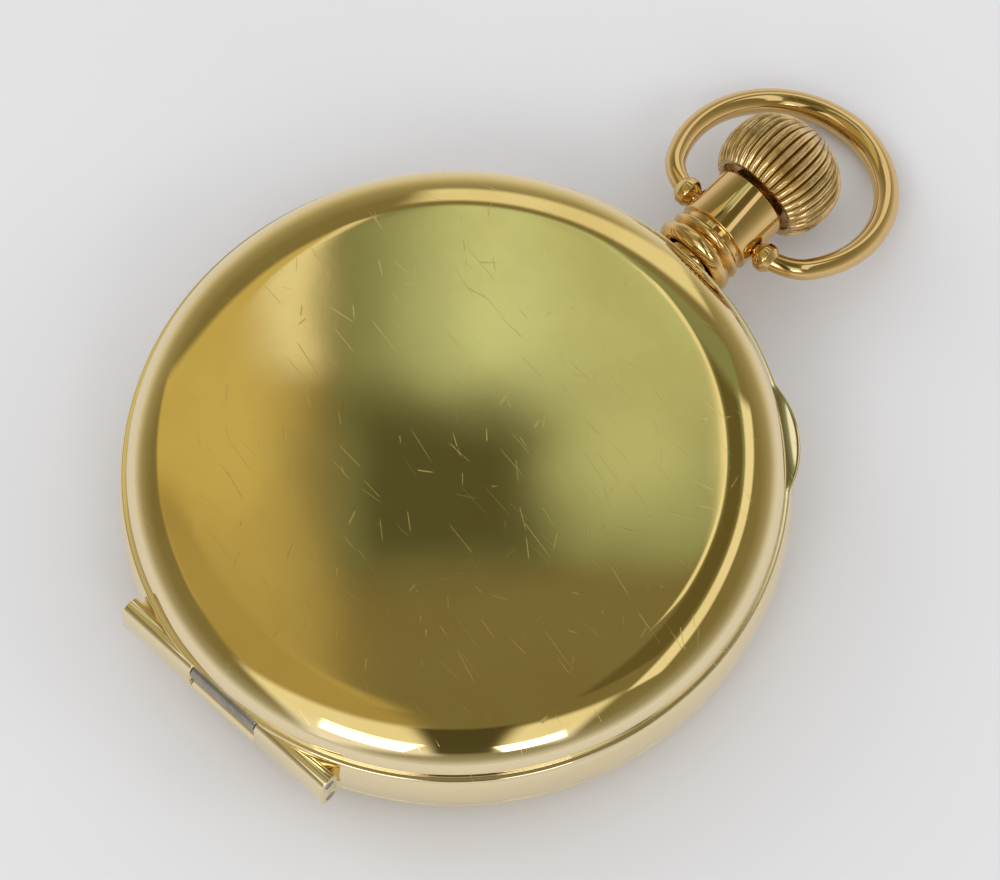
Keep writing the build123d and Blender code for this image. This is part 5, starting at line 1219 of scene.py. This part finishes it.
@dataclass
class Studio:
    """Pale floor, soft lamps and the cards that the polished gold mirrors."""

    turn: float = 44.521
    backdrop: str = "#E9E9EA"
    room: tuple[tuple[float, str], ...] = ((0.0, "#D8D7D5"), (0.5, "#DEDDDA"), (0.56, "#CFCDC6"),
                                           (0.66, "#A9A594"), (0.8, "#8A8468"), (1.0, "#847F64"))
    cards: tuple[Card, ...] = (
        # warm side of the studio, to the left
        Card((-0.6, 0.05), (-0.085, 0.6), 0.03, "#D3C791"),
        # the darker end of it
        Card((-0.6, -0.3), (-0.085, 0.36), 0.05, "#B5A878"),
        # pale edge of the backdrop between the two
        Card((-0.1, 0.45), (-0.068, 0.62), 0.014, "#F2F2EA"),
        # soft grey ceiling beyond the watch
        Card((-0.064, 0.35), (0.5, 0.62), 0.016, "#8F9C84"),
        # darker wall under it
        Card((-0.06, 0.345), (0.05, 0.44), 0.022, "#5C5E48"),
        # tall pale panels behind the camera, with a dark gap between
        Card((-0.62, -0.85), (-0.1, -0.22), 0.06, "#FFFFFF"),
        Card((0.14, -0.8), (0.42, -0.28), 0.05, "#FFFFFF"),
        Card((-0.1, -0.8), (0.12, -0.22), 0.03, "#56533F"),
        # dark corner at the right
        Card((0.2, -0.05), (0.42, 0.5), 0.03, "#6B6546"),
        Card((0.46, -0.3), (0.6, 0.5), 0.02, "#FFFFFF"),
        # daylight on it, stronger to the right
        Card((-0.02, 0.44), (0.145, 0.62), 0.035, "#D8EDDE"),
        Card((0.045, 0.37), (0.125, 0.6), 0.035, "#C6D6C2"),
        # bright strip at the right
        Card((0.13, 0.28), (0.175, 0.56), 0.012, "#FFFFF6"),
        # low pale strip beyond the watch
        Card((-0.05, 0.7), (0.5, 0.88), 0.03, "#F6F6EE"),
    )

    def world(self) -> None:
        """Build the room that metal mirrors, with a plain pale backdrop for the camera."""
        world = bpy.data.worlds.new("studio")
        bpy.context.scene.world = world
        world.use_nodes = True
        tree = world.node_tree
        tree.nodes.clear()
        output = tree.nodes.new("ShaderNodeOutputWorld")
        generated = add_node(tree, "ShaderNodeTexCoord").outputs["Generated"]
        turned = add_node(tree, "ShaderNodeMapping", {"Rotation": (0, 0, -math.radians(self.turn))},
                          {"Vector": generated}).outputs["Vector"]
        height = add_node(tree, "ShaderNodeSeparateXYZ", links={0: turned}).outputs["Z"]
        colour = ramp(tree, math_node(tree, "MULTIPLY_ADD", height, 0.5, 0.5),
                      [(position, linear(code)) for position, code in self.room])
        for card in self.cards:
            colour = self.card(tree, turned, colour, card)
        light_path = add_node(tree, "ShaderNodeLightPath")
        room = add_node(tree, "ShaderNodeBackground", {"Strength": 1.0}, {"Color": colour})
        backdrop = add_node(tree, "ShaderNodeBackground", {"Color": linear(self.backdrop), "Strength": 1.0})
        seen = add_node(tree, "ShaderNodeMixShader", links={0: light_path.outputs["Is Glossy Ray"],
                                                            1: backdrop.outputs[0], 2: room.outputs[0]})
        tree.links.new(seen.outputs[0], output.inputs["Surface"])

    def card(self, tree: bpy.types.NodeTree, direction: bpy.types.NodeSocket, under: bpy.types.NodeSocket,
             card: Card) -> bpy.types.NodeSocket:
        """Lay one card over the room.

        Args:
            tree: The world's node tree.
            direction: Direction socket, turned to the camera's heading.
            under: Colour of the room so far.
            card: The card.

        Returns:
            Colour of the room with the card in it.
        """
        axes = add_node(tree, "ShaderNodeSeparateXYZ", links={0: direction})
        mask = spread(tree, axes.outputs["Z"], 0.1, 0.2)
        for axis, low, high in (("X", card.first[0], card.second[0]), ("Y", card.first[1], card.second[1])):
            for level, start, end in ((low, 0.0, 1.0), (high, 1.0, 0.0)):
                side = spread(tree, axes.outputs[axis], level - card.edge, level + card.edge, start, end)
                mask = math_node(tree, "MULTIPLY", mask, side)
        return mixed(tree, mask, under, linear(card.colour))

    def lamp(self, name: str, direction: tuple[float, float, float], distance: float, size: float,
             power: float, mirrored: bool = True) -> None:
        """Add a square softbox that faces the watch.

        Args:
            name: Name of the lamp.
            direction: Right, forward and up, as the camera stands.
            distance: Metres from the watch.
            size: Side in metres.
            power: Power in watts.
            mirrored: Whether polished metal shows it.
        """
        turn = math.radians(self.turn)
        right = Vector((math.cos(turn), math.sin(turn), 0))
        forward = Vector((-math.sin(turn), math.cos(turn), 0))
        way = (right * direction[0] + forward * direction[1] + Vector((0, 0, direction[2]))).normalized()
        data = bpy.data.lights.new(name, "AREA")
        data.shape, data.size, data.energy = "SQUARE", size, power
        lamp = bpy.data.objects.new(name, data)
        lamp.visible_glossy = mirrored
        facing = way.to_track_quat("Z", "Y").to_matrix().to_4x4()
        lamp.matrix_world = Matrix.Translation(way * distance) @ facing
        bpy.context.scene.collection.objects.link(lamp)

    def floor(self) -> None:
        """Build the plain pale floor."""
        mesh = bmesh.new()
        bmesh.ops.create_grid(mesh, x_segments=8, y_segments=8, size=3.0)
        bmesh.ops.translate(mesh, vec=(0, 0, -0.00002), verts=mesh.verts)
        data = bpy.data.meshes.new("floor")
        mesh.to_mesh(data)
        mesh.free()
        floor = bpy.data.objects.new("floor", data)
        bpy.context.scene.collection.objects.link(floor)
        # matt white card, very slightly uneven in tone
        material, tree, output = blank_material("white_card")
        tone = noise(tree, millimetres(tree), 0.02, 2.0)
        colour = mixed(tree, tone, linear("#E6E5E6"), linear("#DFDFE0"))
        shader = add_node(tree, "ShaderNodeBsdfPrincipled", {"Roughness": 0.85, "Specular IOR Level": 0.2},
                          {"Base Color": colour})
        tree.links.new(shader.outputs[0], output.inputs["Surface"])
        data.materials.append(material)

    def build(self) -> None:
        """Build floor, world and lamps, and set the plain view transform."""
        bpy.context.scene.view_settings.view_transform = "Standard"
        self.world()
        self.floor()
        self.lamp("key_softbox", (-0.75, 0.45, 0.5), 1.2, 0.7, 2.0, False)
        self.lamp("low_softbox_left", (-0.33, -0.66, 0.68), 1.2, 0.42, 1.4)
        self.lamp("low_softbox_right", (0.26, -0.72, 0.64), 1.2, 0.3, 0.9)
        self.lamp("side_softbox", (0.85, -0.25, 0.5), 1.2, 0.4, 1.2, False)


def main() -> None:
    """Build the watch, its studio and its camera in order."""
    logging.basicConfig(level=logging.INFO, format="%(name)s: %(message)s")
    Camera().place()
    Studio().build()
    wardrobe = Wardrobe()
    wardrobe.dress_nodes()
    builders: tuple[tuple[str, Callable[[Wardrobe], None]], ...] = (
        ("case", Case().build), ("pendant, crown and bow", Pendant().build),
        ("printing on the dial", DialPrint().build))
    for name, build in builders:
        build(wardrobe)
        log.info("%s built", name)


if __name__ == "__main__":
    main()
